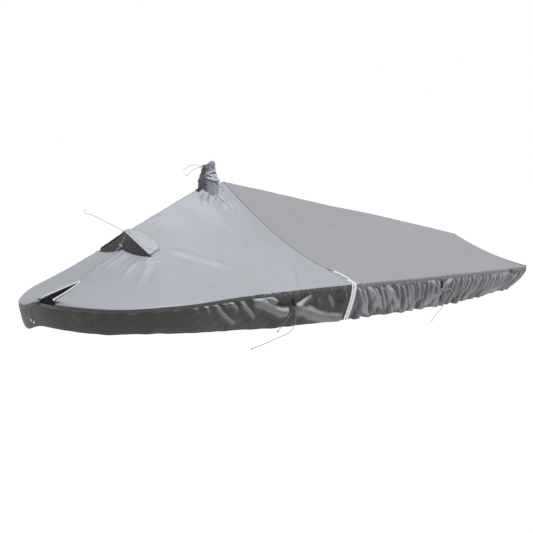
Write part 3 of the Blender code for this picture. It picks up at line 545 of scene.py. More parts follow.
# The routes of these are given by station and by drop under the edge.
FORE_SKIRT_CREASES = (
    Crease(((0.598, 0.012), (0.675, 0.086), (0.818, 0.172)), 0.0120, 0.0105, 0.22),
    Crease(((0.590, 0.040), (0.660, 0.110), (0.780, 0.185)), -0.0060, 0.0150),
    Crease(((0.801, 0.028), (0.867, 0.085), (0.961, 0.155)), 0.0130, 0.0115, 0.22),
    Crease(((0.790, 0.055), (0.850, 0.110), (0.930, 0.175)), -0.0060, 0.0150),
    Crease(((0.543, 0.017), (0.562, 0.045), (0.590, 0.080)), 0.0080, 0.0080),
    Crease(((0.480, 0.020), (0.492, 0.045), (0.505, 0.070)), 0.0050, 0.0070),
    Crease(((0.715, 0.018), (0.755, 0.050), (0.806, 0.084)), 0.0100, 0.0095, 0.22),
    Crease(((0.668, 0.020), (0.700, 0.042), (0.738, 0.062)), 0.0060, 0.0080),
    Crease(((0.900, 0.026), (1.048, 0.095), (1.151, 0.132), (1.240, 0.126)), 0.0230, 0.0230, 0.14),
    Crease(((0.930, 0.070), (1.050, 0.135), (1.150, 0.168), (1.225, 0.160)), -0.0080, 0.0220),
    Crease(((1.012, 0.029), (1.116, 0.066), (1.204, 0.080)), 0.0100, 0.0090, 0.2),
    Crease(((1.090, 0.064), (1.173, 0.090), (1.236, 0.090)), -0.0190, 0.0150),
    Crease(((1.262, 0.114), (1.327, 0.087), (1.406, 0.045)), 0.0120, 0.0090, 0.2),
    Crease(((1.262, 0.090), (1.320, 0.062), (1.380, 0.036)), -0.0080, 0.0110),
    Crease(((1.256, 0.112), (1.424, 0.166), (1.575, 0.205), (1.775, 0.229)), 0.0240, 0.0240, 0.10),
    Crease(((1.445, 0.060), (1.486, 0.109), (1.500, 0.140)), 0.0080, 0.0110),
    Crease(((1.534, 0.050), (1.600, 0.112), (1.640, 0.165)), 0.0100, 0.0110),
    Crease(((1.620, 0.030), (1.660, 0.080), (1.705, 0.135)), -0.0150, 0.0240, 0.2),
    Crease(((1.350, 0.085), (1.440, 0.105), (1.540, 0.130)), -0.0080, 0.0180),
    Crease(((1.690, 0.034), (1.735, 0.085), (1.765, 0.150)), 0.0080, 0.0110),
    Crease(((0.240, 0.135), (0.320, 0.118), (0.420, 0.130)), 0.0030, 0.0150),
)
AFT_SKIRT_CREASES = (
    Crease(((1.921, 0.030), (2.008, 0.110), (2.070, 0.184)), 0.0100, 0.0120, 0.2),
    Crease(((2.132, 0.023), (2.229, 0.112), (2.401, 0.227)), 0.0110, 0.0130, 0.2),
    Crease(((3.932, 0.031), (3.903, 0.142), (3.837, 0.199)), 0.0090, 0.0120, 0.2),
    Crease(((3.428, 0.032), (3.403, 0.134), (3.406, 0.218)), 0.0100, 0.0130, 0.2),
    Crease(((2.830, 0.120), (2.760, 0.165), (2.700, 0.215)), 0.0130, 0.0100, 0.2),
    Crease(((2.850, 0.080), (2.930, 0.055), (2.990, 0.034)), 0.0080, 0.0080, 0.2),
    Crease(((2.780, 0.080), (2.700, 0.052), (2.640, 0.034)), 0.0070, 0.0080, 0.2),
    Crease(((2.860, 0.135), (2.900, 0.180), (2.920, 0.225)), -0.0100, 0.0160, 0.2),
)
AFT_LEAN = ((1.8, 0.75), (2.2, 0.85), (2.6, 0.45), (3.0, 0.10), (3.4, -0.10), (3.95, -0.50), (4.42, -0.65))
FORE_GATHERS = (
    Gathers(11, 0.98, 1.76, (0.018, 0.034), (0.0020, 0.0052), (0.0050, 0.0085), (0.020, 0.030),
            (0.055, 0.105), ((0.9, 0.55), (1.2, 0.25), (1.3, -0.5), (1.5, 0.1), (1.8, 0.5))),
    Gathers(12, 0.36, 1.00, (0.070, 0.150), (0.0020, 0.0040), (0.0060, 0.0090), (0.018, 0.028),
            (0.060, 0.110), ((0.3, 0.5), (1.0, 0.8))),
)
LIP_GATHERS = (
    Gathers(13, 0.86, 1.76, (0.013, 0.027), (0.0018, 0.0042), (0.0042, 0.0072), (-0.030, -0.012),
            (0.045, 0.090), ((0.9, 0.9), (1.2, 0.3), (1.3, -0.5), (1.5, 0.0), (1.8, 0.4))),
    Gathers(24, 1.83, 4.38, (0.024, 0.055), (0.0020, 0.0052), (0.0060, 0.0110), (-0.045, -0.018),
            (0.060, 0.120), AFT_LEAN),
)
AFT_GATHERS = (
    Gathers(21, 1.83, 4.40, (0.050, 0.085), (0.0080, 0.0145), (0.0130, 0.0215), (0.022, 0.050),
            (0.150, 0.300), AFT_LEAN),
    Gathers(22, 1.82, 4.40, (0.024, 0.050), (0.0025, 0.0060), (0.0060, 0.0100), (0.014, 0.060),
            (0.080, 0.220), AFT_LEAN, 0.22),
    Gathers(23, 1.83, 4.38, (0.045, 0.095), (0.0040, 0.0090), (0.0085, 0.0140), (0.110, 0.170),
            (0.240, 0.340), AFT_LEAN, 0.30),
)


# ---- Making objects ----
def add_object(name: str, data: ID, material: Material, slot: str,
               replaced: Sequence[str]) -> Object:
    """Put a mesh or curve in the scene, riding on the cover.

    Args:
        name: name of the piece.
        data: its mesh or curve.
        material: its finish.
        slot: the record's slot for the finish; not used.
        replaced: the CAD nodes that it stands for.

    Returns:
        The object.
    """
    piece = bpy.data.objects.new(name, data)
    bpy.context.scene.collection.objects.link(piece)
    data.materials.append(material)
    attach(piece, ROOT)
    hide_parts(*replaced)
    log.info("%s, for %s", name, ", ".join(replaced))
    return piece


def grid_mesh(name: str, grid: Array, opened: Optional[Array] = None, closed: bool = False,
              seam: Optional[Array] = None, relief: Optional[Array] = None) -> Mesh:
    """A smooth mesh on a grid of points, with its real distances as UVs.

    Args:
        name: name of the mesh.
        grid: the points, by row and column, by station, side and height.
        opened: the cells to leave open.
        closed: whether the last row joins the first.
        seam: how far each point lies from the nearest seam, in metres up to 1, for the finish.
        relief: how far each point stands on a fold, for the finish's painted light on fold ridges and painted
            shade in hollows.

    Returns:
        The mesh, in the frame's axes.
    """
    rows, columns = grid.shape[:2]
    places = grid.reshape(-1, 3) - np.array(DATUM)
    index = np.arange(rows * columns).reshape(rows, columns)
    after = np.roll(index, -1, axis=0) if closed else index[1:]
    here = index if closed else index[:-1]
    corners = np.stack([here[:, :-1], here[:, 1:], after[:, 1:], after[:, :-1]], axis=-1)
    if opened is not None:
        corners = corners[~opened]
    corners = corners.reshape(-1, 4)
    mesh = bpy.data.meshes.new(name)
    mesh.from_pydata(places.tolist(), [], corners.tolist())
    along = np.concatenate([[0.0], np.cumsum(np.linalg.norm(np.diff(grid, axis=0), axis=2).mean(axis=1))])
    down = np.zeros((rows, columns))
    down[:, :-1] = np.cumsum(np.linalg.norm(np.diff(grid, axis=1), axis=2)[:, ::-1], axis=1)[:, ::-1]
    uv = np.stack([np.repeat(along[:, None], columns, axis=1), down], axis=-1).reshape(-1, 2)
    layer = mesh.uv_layers.new(name="cut")
    layer.data.foreach_set("uv", uv[corners.reshape(-1)].astype(np.float32).reshape(-1))
    if seam is not None:
        mark = mesh.attributes.new("seam_distance", "FLOAT", "POINT")
        mark.data.foreach_set("value", (1.0 - np.minimum(seam, 1.0)).astype(np.float32).reshape(-1))
    if relief is not None:
        mark = mesh.attributes.new("fold_relief", "FLOAT", "POINT")
        mark.data.foreach_set("value", relief.astype(np.float32).reshape(-1))
    mesh.shade_smooth()
    return mesh


def thicken(piece: Object, thickness: float, inside: Optional[Material] = None) -> None:
    """Give a piece of cloth its thickness, outwards, and where asked its inner face a finish of its own.

    Args:
        piece: the piece, whose mesh is its inner face.
        thickness: the cloth's thickness.
        inside: the finish of the inner face.
    """
    solidify = piece.modifiers.new("Thickness", "SOLIDIFY")
    solidify.thickness = thickness
    solidify.offset = 1.0
    if inside:
        piece.data.materials.append(inside)
        solidify.material_offset = 1


def ring_mesh(name: str, centre: Array, radius: float, sides: int) -> Mesh:
    """A round tube along points, whose end joins its start.

    Args:
        name: name of the mesh.
        centre: the points of its centreline, in the frame's axes.
        radius: its radius.
        sides: how many faces it has round it.

    Returns:
        The mesh.
    """
    ahead = unit(np.roll(centre, -1, axis=0) - np.roll(centre, 1, axis=0))
    across = unit(np.cross(ahead, np.array(SLANT)))
    upward = np.cross(ahead, across)
    turns = 2 * np.pi * np.arange(sides) / sides
    rings = (centre[:, None] + radius * (across[:, None] * np.cos(turns)[None, :, None]
                                         + upward[:, None] * np.sin(turns)[None, :, None]))
    faces = []
    for i in range(len(centre)):
        n = (i + 1) % len(centre)
        for j in range(sides):
            k = (j + 1) % sides
            faces.append((i * sides + j, i * sides + k, n * sides + k, n * sides + j))
    mesh = bpy.data.meshes.new(name)
    mesh.from_pydata(rings.reshape(-1, 3).tolist(), [], faces)
    mesh.shade_smooth()
    return mesh


# ---- Finishes ----
class Bench:
    """Adds and joins the nodes of one tree."""

    def __init__(self, tree: NodeTree) -> None:
        """Keep the tree to work on."""
        self.tree = tree

    def add(self, kind: str, inputs: Optional[dict] = None, **settings) -> Node:
        """Add a node.

        Args:
            kind: the node's type.
            inputs: sockets by name or number, each with a value or a socket to link.
            settings: the node's own properties.

        Returns:
            The node.
        """
        node = self.tree.nodes.new(kind)
        for name, value in settings.items():
            setattr(node, name, value)
        for key, value in (inputs or {}).items():
            if isinstance(value, NodeSocket):
                self.tree.links.new(value, node.inputs[key])
            else:
                node.inputs[key].default_value = value
        return node

    def math(self, operation: str, first: object, second: object = 0.0) -> NodeSocket:
        """Work out one sum and give its result."""
        return self.add("ShaderNodeMath", {0: first, 1: second}, operation=operation).outputs[0]

    def blend(self, share: object, first: object, second: object, way: str = "MIX") -> NodeSocket:
        """Mix two colours and give the result."""
        sockets = {0: share, 6: first, 7: second}
        return self.add("ShaderNodeMix", sockets, data_type="RGBA", blend_type=way).outputs[2]

    def spread(self, value: object, low: object, high: object, start: float = 0.0,
               end: float = 1.0) -> NodeSocket:
        """Map one range smoothly to another and give the result."""
        sockets = {0: value, 1: low, 2: high, 3: start, 4: end}
        return self.add("ShaderNodeMapRange", sockets, interpolation_type="SMOOTHSTEP").outputs[0]

    def effect(self, group: NodeTree, **inputs: float) -> bpy_prop_collection:
        """Place a shared effect with values of its own and give its outputs."""
        return self.add("ShaderNodeGroup", inputs, node_tree=group).outputs

    def mark(self, name: str) -> NodeSocket:
        """Read a mark that the cloth's mesh carries at each point."""
        return self.add("ShaderNodeAttribute", attribute_name=name, attribute_type="GEOMETRY").outputs["Fac"]

    def place(self) -> NodeSocket:
        """The place of a point on its piece."""
        return self.add("ShaderNodeTexCoord").outputs["Object"]

    def bump(self, strength: float, distance: float, height: object, **under: object) -> NodeSocket:
        """Raise a height over the surface, or over the Normal of another bump, and give the normal."""
        sockets = {"Strength": strength, "Distance": distance, "Height": height}
        return self.add("ShaderNodeBump", sockets | under).outputs[0]

    def link(self, result: NodeSocket, target: NodeSocket) -> None:
        """Join a result to the socket that it feeds."""
        self.tree.links.new(result, target)


def new_group(name: str, inputs: dict[str, float], outputs: Sequence[str]) -> tuple[Bench, dict, dict]:
    """Start a shader node group.

    Args:
        name: the group's name.
        inputs: default value of each input.
        outputs: names of the outputs.

    Returns:
        The bench for its tree, its input sockets and the output node's sockets.
    """
    tree = bpy.data.node_groups.new(name, "ShaderNodeTree")
    for label, value in inputs.items():
        socket = tree.interface.new_socket(label, in_out="INPUT", socket_type="NodeSocketFloat")
        socket.default_value = value
    for label in outputs:
        tree.interface.new_socket(label, in_out="OUTPUT", socket_type="NodeSocketFloat")
    bench = Bench(tree)
    entry, leave = bench.add("NodeGroupInput"), bench.add("NodeGroupOutput")
    return bench, entry.outputs, leave.inputs


@dataclass(frozen=True)
class SoftTone:
    """Broad and small uneven tone of used cloth, as two masks."""

    detail: tuple = (("Broad", 3.0), ("Small", 5.0))
    cut: Pair = (0.34, 0.66)

    def group(self) -> NodeTree:
        """Build the node group.

        Returns:
            The group, with inputs for both scales and an output for both masks.
        """
        masks = ("Broad Mask", "Small Mask")
        bench, given, made = new_group("soft_tone", {"Broad": 3.0, "Small": 60.0}, masks)
        place = bench.place()
        for label, detail in self.detail:
            sockets = {"Vector": place, "Scale": given[label], "Detail": detail}
            noise = bench.add("ShaderNodeTexNoise", sockets)
            bench.link(bench.spread(noise.outputs["Fac"], *self.cut), made[label + " Mask"])
        return bench.tree


@dataclass(frozen=True)
class PlainWeave:
    """Fine plain weave, as a height and a mask."""

    lint_scale: float = 420.0
    lint_detail: float = 3.0
    thread_height: float = 0.5

    def group(self) -> NodeTree:
        """Build the node group.

        Returns:
            The group, with an input for the threads to a metre.
        """
        bench, given, made = new_group("plain_weave", {"Threads": 1600.0}, ("Height", "Mask"))
        place = bench.place()
        parts = bench.add("ShaderNodeSeparateXYZ", {0: place}).outputs
        along = bench.math("SINE", bench.math("MULTIPLY", parts[0], given["Threads"]))
        slope = bench.math("ADD", parts[1], parts[2])
        across = bench.math("SINE", bench.math("MULTIPLY", slope, given["Threads"]))
        threads = bench.math("MULTIPLY", along, across)
        lint = bench.add("ShaderNodeTexNoise",
                         {"Vector": place, "Scale": self.lint_scale, "Detail": self.lint_detail})
        height = bench.math("ADD", bench.math("MULTIPLY", threads, self.thread_height), lint.outputs["Fac"])
        bench.link(height, made["Height"])
        bench.link(bench.spread(threads, -1.0, 1.0), made["Mask"])
        return bench.tree


@dataclass(frozen=True)
class FacesUp:
    """Where the cloth faces up, as a mask: the finishes paint light there and paint shade elsewhere."""

    def group(self) -> NodeTree:
        """Build the node group.

        Returns:
            The group, with inputs for where the mask starts and where it is full.
        """
        bench, given, made = new_group("faces_up", {"Low": 0.0, "High": 0.5}, ("Mask",))
        normal = bench.add("ShaderNodeNewGeometry").outputs["Normal"]
        height = bench.add("ShaderNodeSeparateXYZ", {0: normal}).outputs[2]
        bench.link(bench.spread(height, given["Low"], given["High"]), made["Mask"])
        return bench.tree


@dataclass(frozen=True)
class SewnLine:
    """A row of stitches at a distance from the cut edge, as a mask and a height, in metres."""

    line: Pair = (0.0003, 0.0009)
    dash: Pair = (0.30, 0.38)
    crease: Pair = (0.0005, 0.0040)

    def group(self) -> NodeTree:
        """Build the node group.

        Returns:
            The group, with inputs for the line's distance and the stitches' length.
        """
        sizes = {"Distance": 0.010, "Stitch": 0.0045}
        bench, given, made = new_group("sewn_line", sizes, ("Stitches", "Crease"))
        uv = bench.add("ShaderNodeUVMap", uv_map="cut").outputs[0]
        parts = bench.add("ShaderNodeSeparateXYZ", {0: uv}).outputs
        off = bench.math("ABSOLUTE", bench.math("SUBTRACT", parts[1], given["Distance"]))
        step = bench.math("FRACT", bench.math("DIVIDE", parts[0], given["Stitch"]))
        from_middle = bench.math("ABSOLUTE", bench.math("SUBTRACT", step, 0.5))
        dash = bench.spread(from_middle, *self.dash, 1.0, 0.0)
        bench.link(bench.math("MULTIPLY", bench.spread(off, *self.line, 1.0, 0.0), dash), made["Stitches"])
        bench.link(bench.spread(off, *self.crease, 1.0, 0.0), made["Crease"])
        return bench.tree


class SharedEffects:
    """The node groups that more than one finish uses, each built once."""

    def __init__(self) -> None:
        """Build the groups."""
        self.tone = SoftTone().group()
        self.weave = PlainWeave().group()
        self.up = FacesUp().group()
        self.sewn = SewnLine().group()


def start_material(name: str) -> tuple[Material, Bench, Node]:
    """Start a material.

    Args:
        name: the material's name.

    Returns:
        The material, the bench for its nodes, and its shader.
    """
    material = bpy.data.materials.new(name)
    material.use_nodes = True
    return material, Bench(material.node_tree), material.node_tree.nodes["Principled BSDF"]


def rgba(colour: Colour) -> tuple[float, float, float, float]:
    """The colour with full cover."""
    return (*colour, 1.0)


@dataclass(frozen=True)
class ClothFinish:
    """Coated woven cloth: painted light where it faces up and on fold ridges, painted shade where it faces
    down and in hollows.
    """

    name: str
    # the next two colours are the one cloth's painted shade and painted light, picked by which way it faces
    shaded: Colour
    lit_colour: Colour
    up_from: float
    up_to: float
    roughness: float = 0.52
    sheen: float = 0.10
    gloss: float = 0.45
    mottle: float = 0.05
    worn_tint: Colour = (0.97, 1.0, 1.0)
    cool_tint: Colour = (0.97, 0.98, 1.03)
    specks: float = 0.05
    dust: Colour = (0.46, 0.46, 0.45)
    thread_shade: float = 0.06
    thread_gap: Colour = (0.04, 0.04, 0.045)
    # painted shade down the side that faces fore and to starboard, away from the light, with its colour
    side_shade: float = 0.0
    side_shade_across: Pair = (-0.040, 0.012)
    side_shade_colour: Colour = (0.030, 0.035, 0.055)
    # painted light on fold ridges, and painted shade in fold hollows, with its colour
    lit_ridges: float = 0.0
    ridge_relief: Pair = (0.002, 0.014)
    dark_hollows: float = 0.0
    hollow_relief: Pair = (-0.007, -0.001)
    hollow_colour: Colour = (0.020, 0.020, 0.021)
    seam_mark: Pair = (0.9935, 0.9985)
    seam_shade: float = 0.62
    seam_colour: Colour = (0.05, 0.05, 0.055)
    stitch_at: float = 0.008
    stitch_shade: float = 0.35
    stitch_colour: Colour = (0.30, 0.31, 0.34)

    def used_cloth(self, bench: Bench, effects: SharedEffects, tone: Sequence, weave: Sequence) -> object:
        """The cloth's colour: painted light where it faces up and painted shade elsewhere, mottled, dusty,
        woven, and where asked painted shade down one side.

        Args:
            bench: the bench for the material's nodes.
            effects: the shared node groups.
            tone: the soft tone's outputs.
            weave: the weave's outputs.

        Returns:
            The colour's socket.
        """
        # painted light and shade: the lit colour where the cloth faces up, the shaded colour where it faces
        # sideways or down
        up = bench.effect(effects.up, Low=self.up_from, High=self.up_to)
        base = bench.blend(up["Mask"], rgba(self.shaded), rgba(self.lit_colour))
        worn = tuple(c * (1 - self.mottle) for c in self.worn_tint)
        cool = tuple(c * (1 + self.mottle * 0.4) for c in self.cool_tint)
        broad = bench.blend(tone["Broad Mask"], rgba(worn), rgba(cool))
        mixed = bench.blend(1.0, base, broad, "MULTIPLY")
        dusty = bench.blend(bench.math("MULTIPLY", tone["Small Mask"], self.specks), mixed, rgba(self.dust))
        threads = bench.math("MULTIPLY", weave["Mask"], self.thread_shade)
        woven = bench.blend(threads, dusty, rgba(self.thread_gap))
        if self.side_shade:
            # painted shade on one side of the piece
            parts = bench.add("ShaderNodeSeparateXYZ", {0: bench.place()}).outputs
            across = bench.math("SUBTRACT", parts[0], parts[1])
            dirt_and_side_shade = bench.spread(across, *self.side_shade_across, self.side_shade, 0.0)
            woven = bench.blend(dirt_and_side_shade, woven, rgba(self.side_shade_colour))
        return woven

    def folds_and_seams(self, bench: Bench, cloth: object, sewn: Sequence) -> object:
        """Paint light on the cloth's fold ridges and shade in its hollows, and darken it along its seams and
        at its stitches.

        Args:
            bench: the bench for the material's nodes.
            cloth: the cloth's own colour.
            sewn: the sewn line's outputs.

        Returns:
            The colour's socket.
        """
        # painted highlight on fold ridges and painted shade in fold hollows
        relief = bench.mark("fold_relief")
        ridge = bench.spread(relief, *self.ridge_relief, 0.0, self.lit_ridges)
        hollow = bench.spread(relief, *self.hollow_relief, self.dark_hollows, 0.0)
        folded = bench.blend(hollow, bench.blend(ridge, cloth, rgba(self.lit_colour)), rgba(self.hollow_colour))
        seam = bench.spread(bench.mark("seam_distance"), *self.seam_mark, 0.0, self.seam_shade)
        crease = bench.math("MULTIPLY", sewn["Crease"], self.stitch_shade)
        seamed = bench.blend(bench.math("MAXIMUM", crease, seam), folded, rgba(self.seam_colour))
        return bench.blend(bench.math("MULTIPLY", sewn["Stitches"], self.stitch_shade), seamed,
                           rgba(self.stitch_colour))

    def make(self, effects: SharedEffects) -> Material:
        """Build the material.

        Args:
            effects: the shared node groups.

        Returns:
            The material.
        """
        material, bench, shader = start_material(self.name)
        tone = bench.effect(effects.tone, Broad=2.6, Small=75.0)
        weave = bench.effect(effects.weave)
        sewn = bench.effect(effects.sewn, Distance=self.stitch_at)
        cloth = self.used_cloth(bench, effects, tone, weave)
        bench.link(self.folds_and_seams(bench, cloth, sewn), shader.inputs["Base Color"])
        bench.link(bench.spread(tone["Broad Mask"], 0.0, 1.0, self.roughness + 0.05, self.roughness - 0.05),
                   shader.inputs["Roughness"])
        shader.inputs["Sheen Weight"].default_value = self.sheen
        shader.inputs["Sheen Roughness"].default_value = self.gloss
        shader.inputs["Specular IOR Level"].default_value = self.gloss
        ripple = bench.bump(0.15, 0.0012, tone["Small Mask"])
        stitches = bench.bump(0.5, 0.0012, sewn["Stitches"], Normal=ripple)
        bench.link(bench.bump(0.30, 0.0004, weave["Height"], Normal=stitches), shader.inputs["Normal"])
        return material


@dataclass(frozen=True)
class BandFinish:
    """Tape, webbing or cord: ribs across it, with dirt between them."""

    name: str
    thread: Colour
    dirt: Colour
    ribs: float
    roughness: float
    dirty: float = 0.5

    def make(self, effects: SharedEffects) -> Material:
        """Build the material.

        Args:
            effects: the shared node groups.

        Returns:
            The material.
        """
        material, bench, shader = start_material(self.name)
        sockets = {"Vector": bench.place(), "Scale": self.ribs, "Distortion": 1.2, "Detail": 1.0,
                   "Detail Scale": 3.0}
        ribs = bench.add("ShaderNodeTexWave", sockets, bands_direction="DIAGONAL").outputs["Fac"]
        tone = bench.effect(effects.tone, Broad=18.0, Small=160.0)
        hollow = bench.spread(ribs, 0.0, 0.6, self.dirty, 0.0)
        dirt_and_side_shade = bench.math("MAXIMUM", hollow, bench.math("MULTIPLY", tone["Broad Mask"], self.dirty * 0.4))
        bench.link(bench.blend(dirt_and_side_shade, rgba(self.thread), rgba(self.dirt)), shader.inputs["Base Color"])
        bench.link(bench.spread(tone["Small Mask"], 0.0, 1.0, self.roughness - 0.07, self.roughness + 0.07),
                   shader.inputs["Roughness"])
        bench.link(bench.bump(0.5, 0.0006, ribs), shader.inputs["Normal"])
        return material


@dataclass(frozen=True)
class HardFinish:
    """Moulded plastic or bent wire: small scratches and a slightly uneven gloss."""

    name: str
    colour: Colour
    worn: Colour
    roughness: float
    metallic: float

    def make(self, effects: SharedEffects) -> Material:
        """Build the material.

        Args:
            effects: the shared node groups.

        Returns:
            The material.
        """
        material, bench, shader = start_material(self.name)
        tone = bench.effect(effects.tone, Broad=45.0, Small=600.0)
        colour = bench.blend(tone["Broad Mask"], rgba(self.colour), rgba(self.worn))
        bench.link(colour, shader.inputs["Base Color"])
        bench.link(bench.spread(tone["Small Mask"], 0.0, 1.0, self.roughness, self.roughness + 0.15),
                   shader.inputs["Roughness"])
        shader.inputs["Metallic"].default_value = self.metallic
        bench.link(bench.bump(0.2, 0.0003, tone["Small Mask"]), shader.inputs["Normal"])
        return material


@dataclass
class Finishes:
    """Every finish of the cover."""

    effects: SharedEffects = field(default_factory=SharedEffects)

    def __post_init__(self) -> None:
        """Build each material."""
        # panels, skirts, stern, collar and hood are one cloth: their differing colours are painted shade and
        # painted light, the fore skirt darkest
        self.fore_panel = ClothFinish(
            "fore_panel_cloth", shaded=(0.040, 0.039, 0.037), lit_colour=(0.405, 0.415, 0.448), up_from=0.10,
            up_to=0.66, roughness=0.48, lit_ridges=0.5).make(self.effects)
        self.aft_panel = ClothFinish(
            "aft_panel_cloth", shaded=(0.17, 0.17, 0.185), lit_colour=(0.345, 0.346, 0.362), up_from=-0.05,
            up_to=0.62, lit_ridges=0.4).make(self.effects)
        self.fore_skirt = ClothFinish(
            "fore_skirt_cloth", shaded=(0.030, 0.029, 0.024), lit_colour=(0.42, 0.43, 0.45), up_from=-0.02,
            up_to=0.80, roughness=0.55, specks=0.012, stitch_at=0.012, lit_ridges=0.30,
            dark_hollows=0.5).make(self.effects)
        self.aft_skirt = ClothFinish(
            "aft_skirt_cloth", shaded=(0.078, 0.078, 0.086), lit_colour=(0.46, 0.46, 0.50), up_from=-0.22,
            up_to=0.60, roughness=0.46, specks=0.02, stitch_at=0.012, lit_ridges=0.42,
            dark_hollows=0.90).make(self.effects)
        self.stern = ClothFinish(
            "stern_cloth", shaded=(0.10, 0.10, 0.11), lit_colour=(0.40, 0.41, 0.43), up_from=-0.05, up_to=0.5,
            specks=0.02, stitch_at=0.012).make(self.effects)
        self.collar = ClothFinish(
            "collar_cloth", shaded=(0.12, 0.125, 0.15), lit_colour=(0.56, 0.57, 0.62), up_from=-0.55,
            up_to=0.65, roughness=0.42, side_shade=0.75).make(self.effects)
        self.hood = ClothFinish(
            "hood_cloth_used", shaded=(0.22, 0.225, 0.24), lit_colour=(0.50, 0.515, 0.55), up_from=0.15,
            up_to=0.85, roughness=0.5).make(self.effects)
        # the inner face's near-black colour is painted shade
        self.inside = ClothFinish(
            "inner_coating", shaded=(0.020, 0.020, 0.022), lit_colour=(0.030, 0.030, 0.032), up_from=0.0,
            up_to=1.0, roughness=0.75, specks=0.01).make(self.effects)
        self.binding = BandFinish(
            "white_tape", thread=(0.86, 0.87, 0.90), dirt=(0.55, 0.56, 0.58), ribs=260.0, roughness=0.55,
            dirty=0.35).make(self.effects)
        self.webbing = BandFinish(
            "black_band", thread=(0.016, 0.016, 0.018), dirt=(0.045, 0.044, 0.042), ribs=330.0,
            roughness=0.7).make(self.effects)
        self.pale_cord = BandFinish(
            "pale_twine", thread=(0.50, 0.49, 0.47), dirt=(0.20, 0.19, 0.18), ribs=420.0,
            roughness=0.7).make(self.effects)
        self.brown_cord = BandFinish(
            "brown_twine", thread=(0.34, 0.30, 0.24), dirt=(0.12, 0.10, 0.08), ribs=420.0,
            roughness=0.75).make(self.effects)
        self.plastic = HardFinish(
            "milky_plastic", colour=(0.86, 0.87, 0.88), worn=(0.74, 0.75, 0.76), roughness=0.30,
            metallic=0.0).make(self.effects)
        self.wire = HardFinish(
            "bent_wire", colour=(0.74, 0.74, 0.75), worn=(0.50, 0.49, 0.48), roughness=0.28,
            metallic=1.0).make(self.effects)


# ---- Camera, light and floor ----
@dataclass
class Studio:
    """A plain pale floor, soft light, and the camera at the photograph's angle."""

    eye: Place = (-4.3216, -4.2175, 0.1986)
    yaw: float = 49.32
    pitch: float = -6.298
    roll: float = 1.02
    lens: float = 63.3
    floor_height: float = -4.6
    floor_size: float = 400.0
    floor_dull: Colour = (0.93, 0.93, 0.93)
    floor_bright: Colour = (0.96, 0.96, 0.96)
    sun_way: Place = (-0.10, 0.26, -0.96)
    sun_strength: float = 2.35
    sun_angle: float = 24.0
    ambient: float = 0.40

    def place_camera(self) -> None:
        """Put the camera in the scene."""
        data = bpy.data.cameras.new("camera")
        data.lens = self.lens
        camera = bpy.data.objects.new("camera", data)
        bpy.context.scene.collection.objects.link(camera)
        yaw, pitch = math.radians(self.yaw), math.radians(self.pitch)
        ahead = Vector((math.sin(yaw) * math.cos(pitch), math.cos(yaw) * math.cos(pitch), math.sin(pitch)))
        camera.location = self.eye
        camera.rotation_mode = "QUATERNION"
        roll = Quaternion((0, 0, 1), math.radians(self.roll))
        camera.rotation_quaternion = ahead.to_track_quat("-Z", "Y") @ roll
        bpy.context.scene.camera = camera

    def light(self) -> None:
        """Add the soft key light and the pale surroundings."""
        data = bpy.data.lights.new("key", "SUN")
        data.energy, data.angle = self.sun_strength, math.radians(self.sun_angle)
        key = bpy.data.objects.new("key", data)
        bpy.context.scene.collection.objects.link(key)
        key.rotation_mode = "QUATERNION"
        key.rotation_quaternion = Vector(self.sun_way).to_track_quat("-Z", "Y")
        world = bpy.data.worlds.new("pale_surroundings")
        bpy.context.scene.world = world
        world.use_nodes = True
        bench = Bench(world.node_tree)
        background = world.node_tree.nodes["Background"]
        seen = bench.add("ShaderNodeLightPath").outputs["Is Camera Ray"]
        bench.link(bench.spread(seen, 0.0, 1.0, self.ambient, 1.0), background.inputs["Strength"])
        background.inputs["Color"].default_value = (1.0, 1.0, 1.0, 1.0)

    def lay_floor(self) -> None:
        """Add the floor."""
        half = self.floor_size / 2
        mesh = bpy.data.meshes.new("floor")
        corners = [(-half, -half), (half, -half), (half, half), (-half, half)]
        mesh.from_pydata([(x, y, self.floor_height) for x, y in corners], [], [(0, 1, 2, 3)])
        material, bench, shader = start_material("pale_floor")
        noise = bench.add("ShaderNodeTexNoise", {"Vector": bench.place(), "Scale": 0.8, "Detail": 4.0})
        colour = bench.blend(noise.outputs["Fac"], rgba(self.floor_dull), rgba(self.floor_bright))
        bench.link(colour, shader.inputs["Base Color"])
        shader.inputs["Roughness"].default_value = 0.9
        mesh.materials.append(material)
        floor = bpy.data.objects.new("floor", mesh)
        bpy.context.scene.collection.objects.link(floor)


# ---- Cords, knots and small fittings ----
class End(Enum):
    """What the far end of a cord is."""

    BARE = "bare"
    KNOT = "knot"
    OBJECT = "object"
    FITTING = "fitting"


@dataclass(frozen=True)
class CordRun:
    """One cord: the knots it runs from and to, and the places it passes between them."""

    name: str
    diameter: float
    brown: bool
    first: Optional[str]
    last: Optional[str]
    end: End
    route: tuple[Place, ...]
    lay: str = "loose"
    pieces: tuple[str, ...] = ()


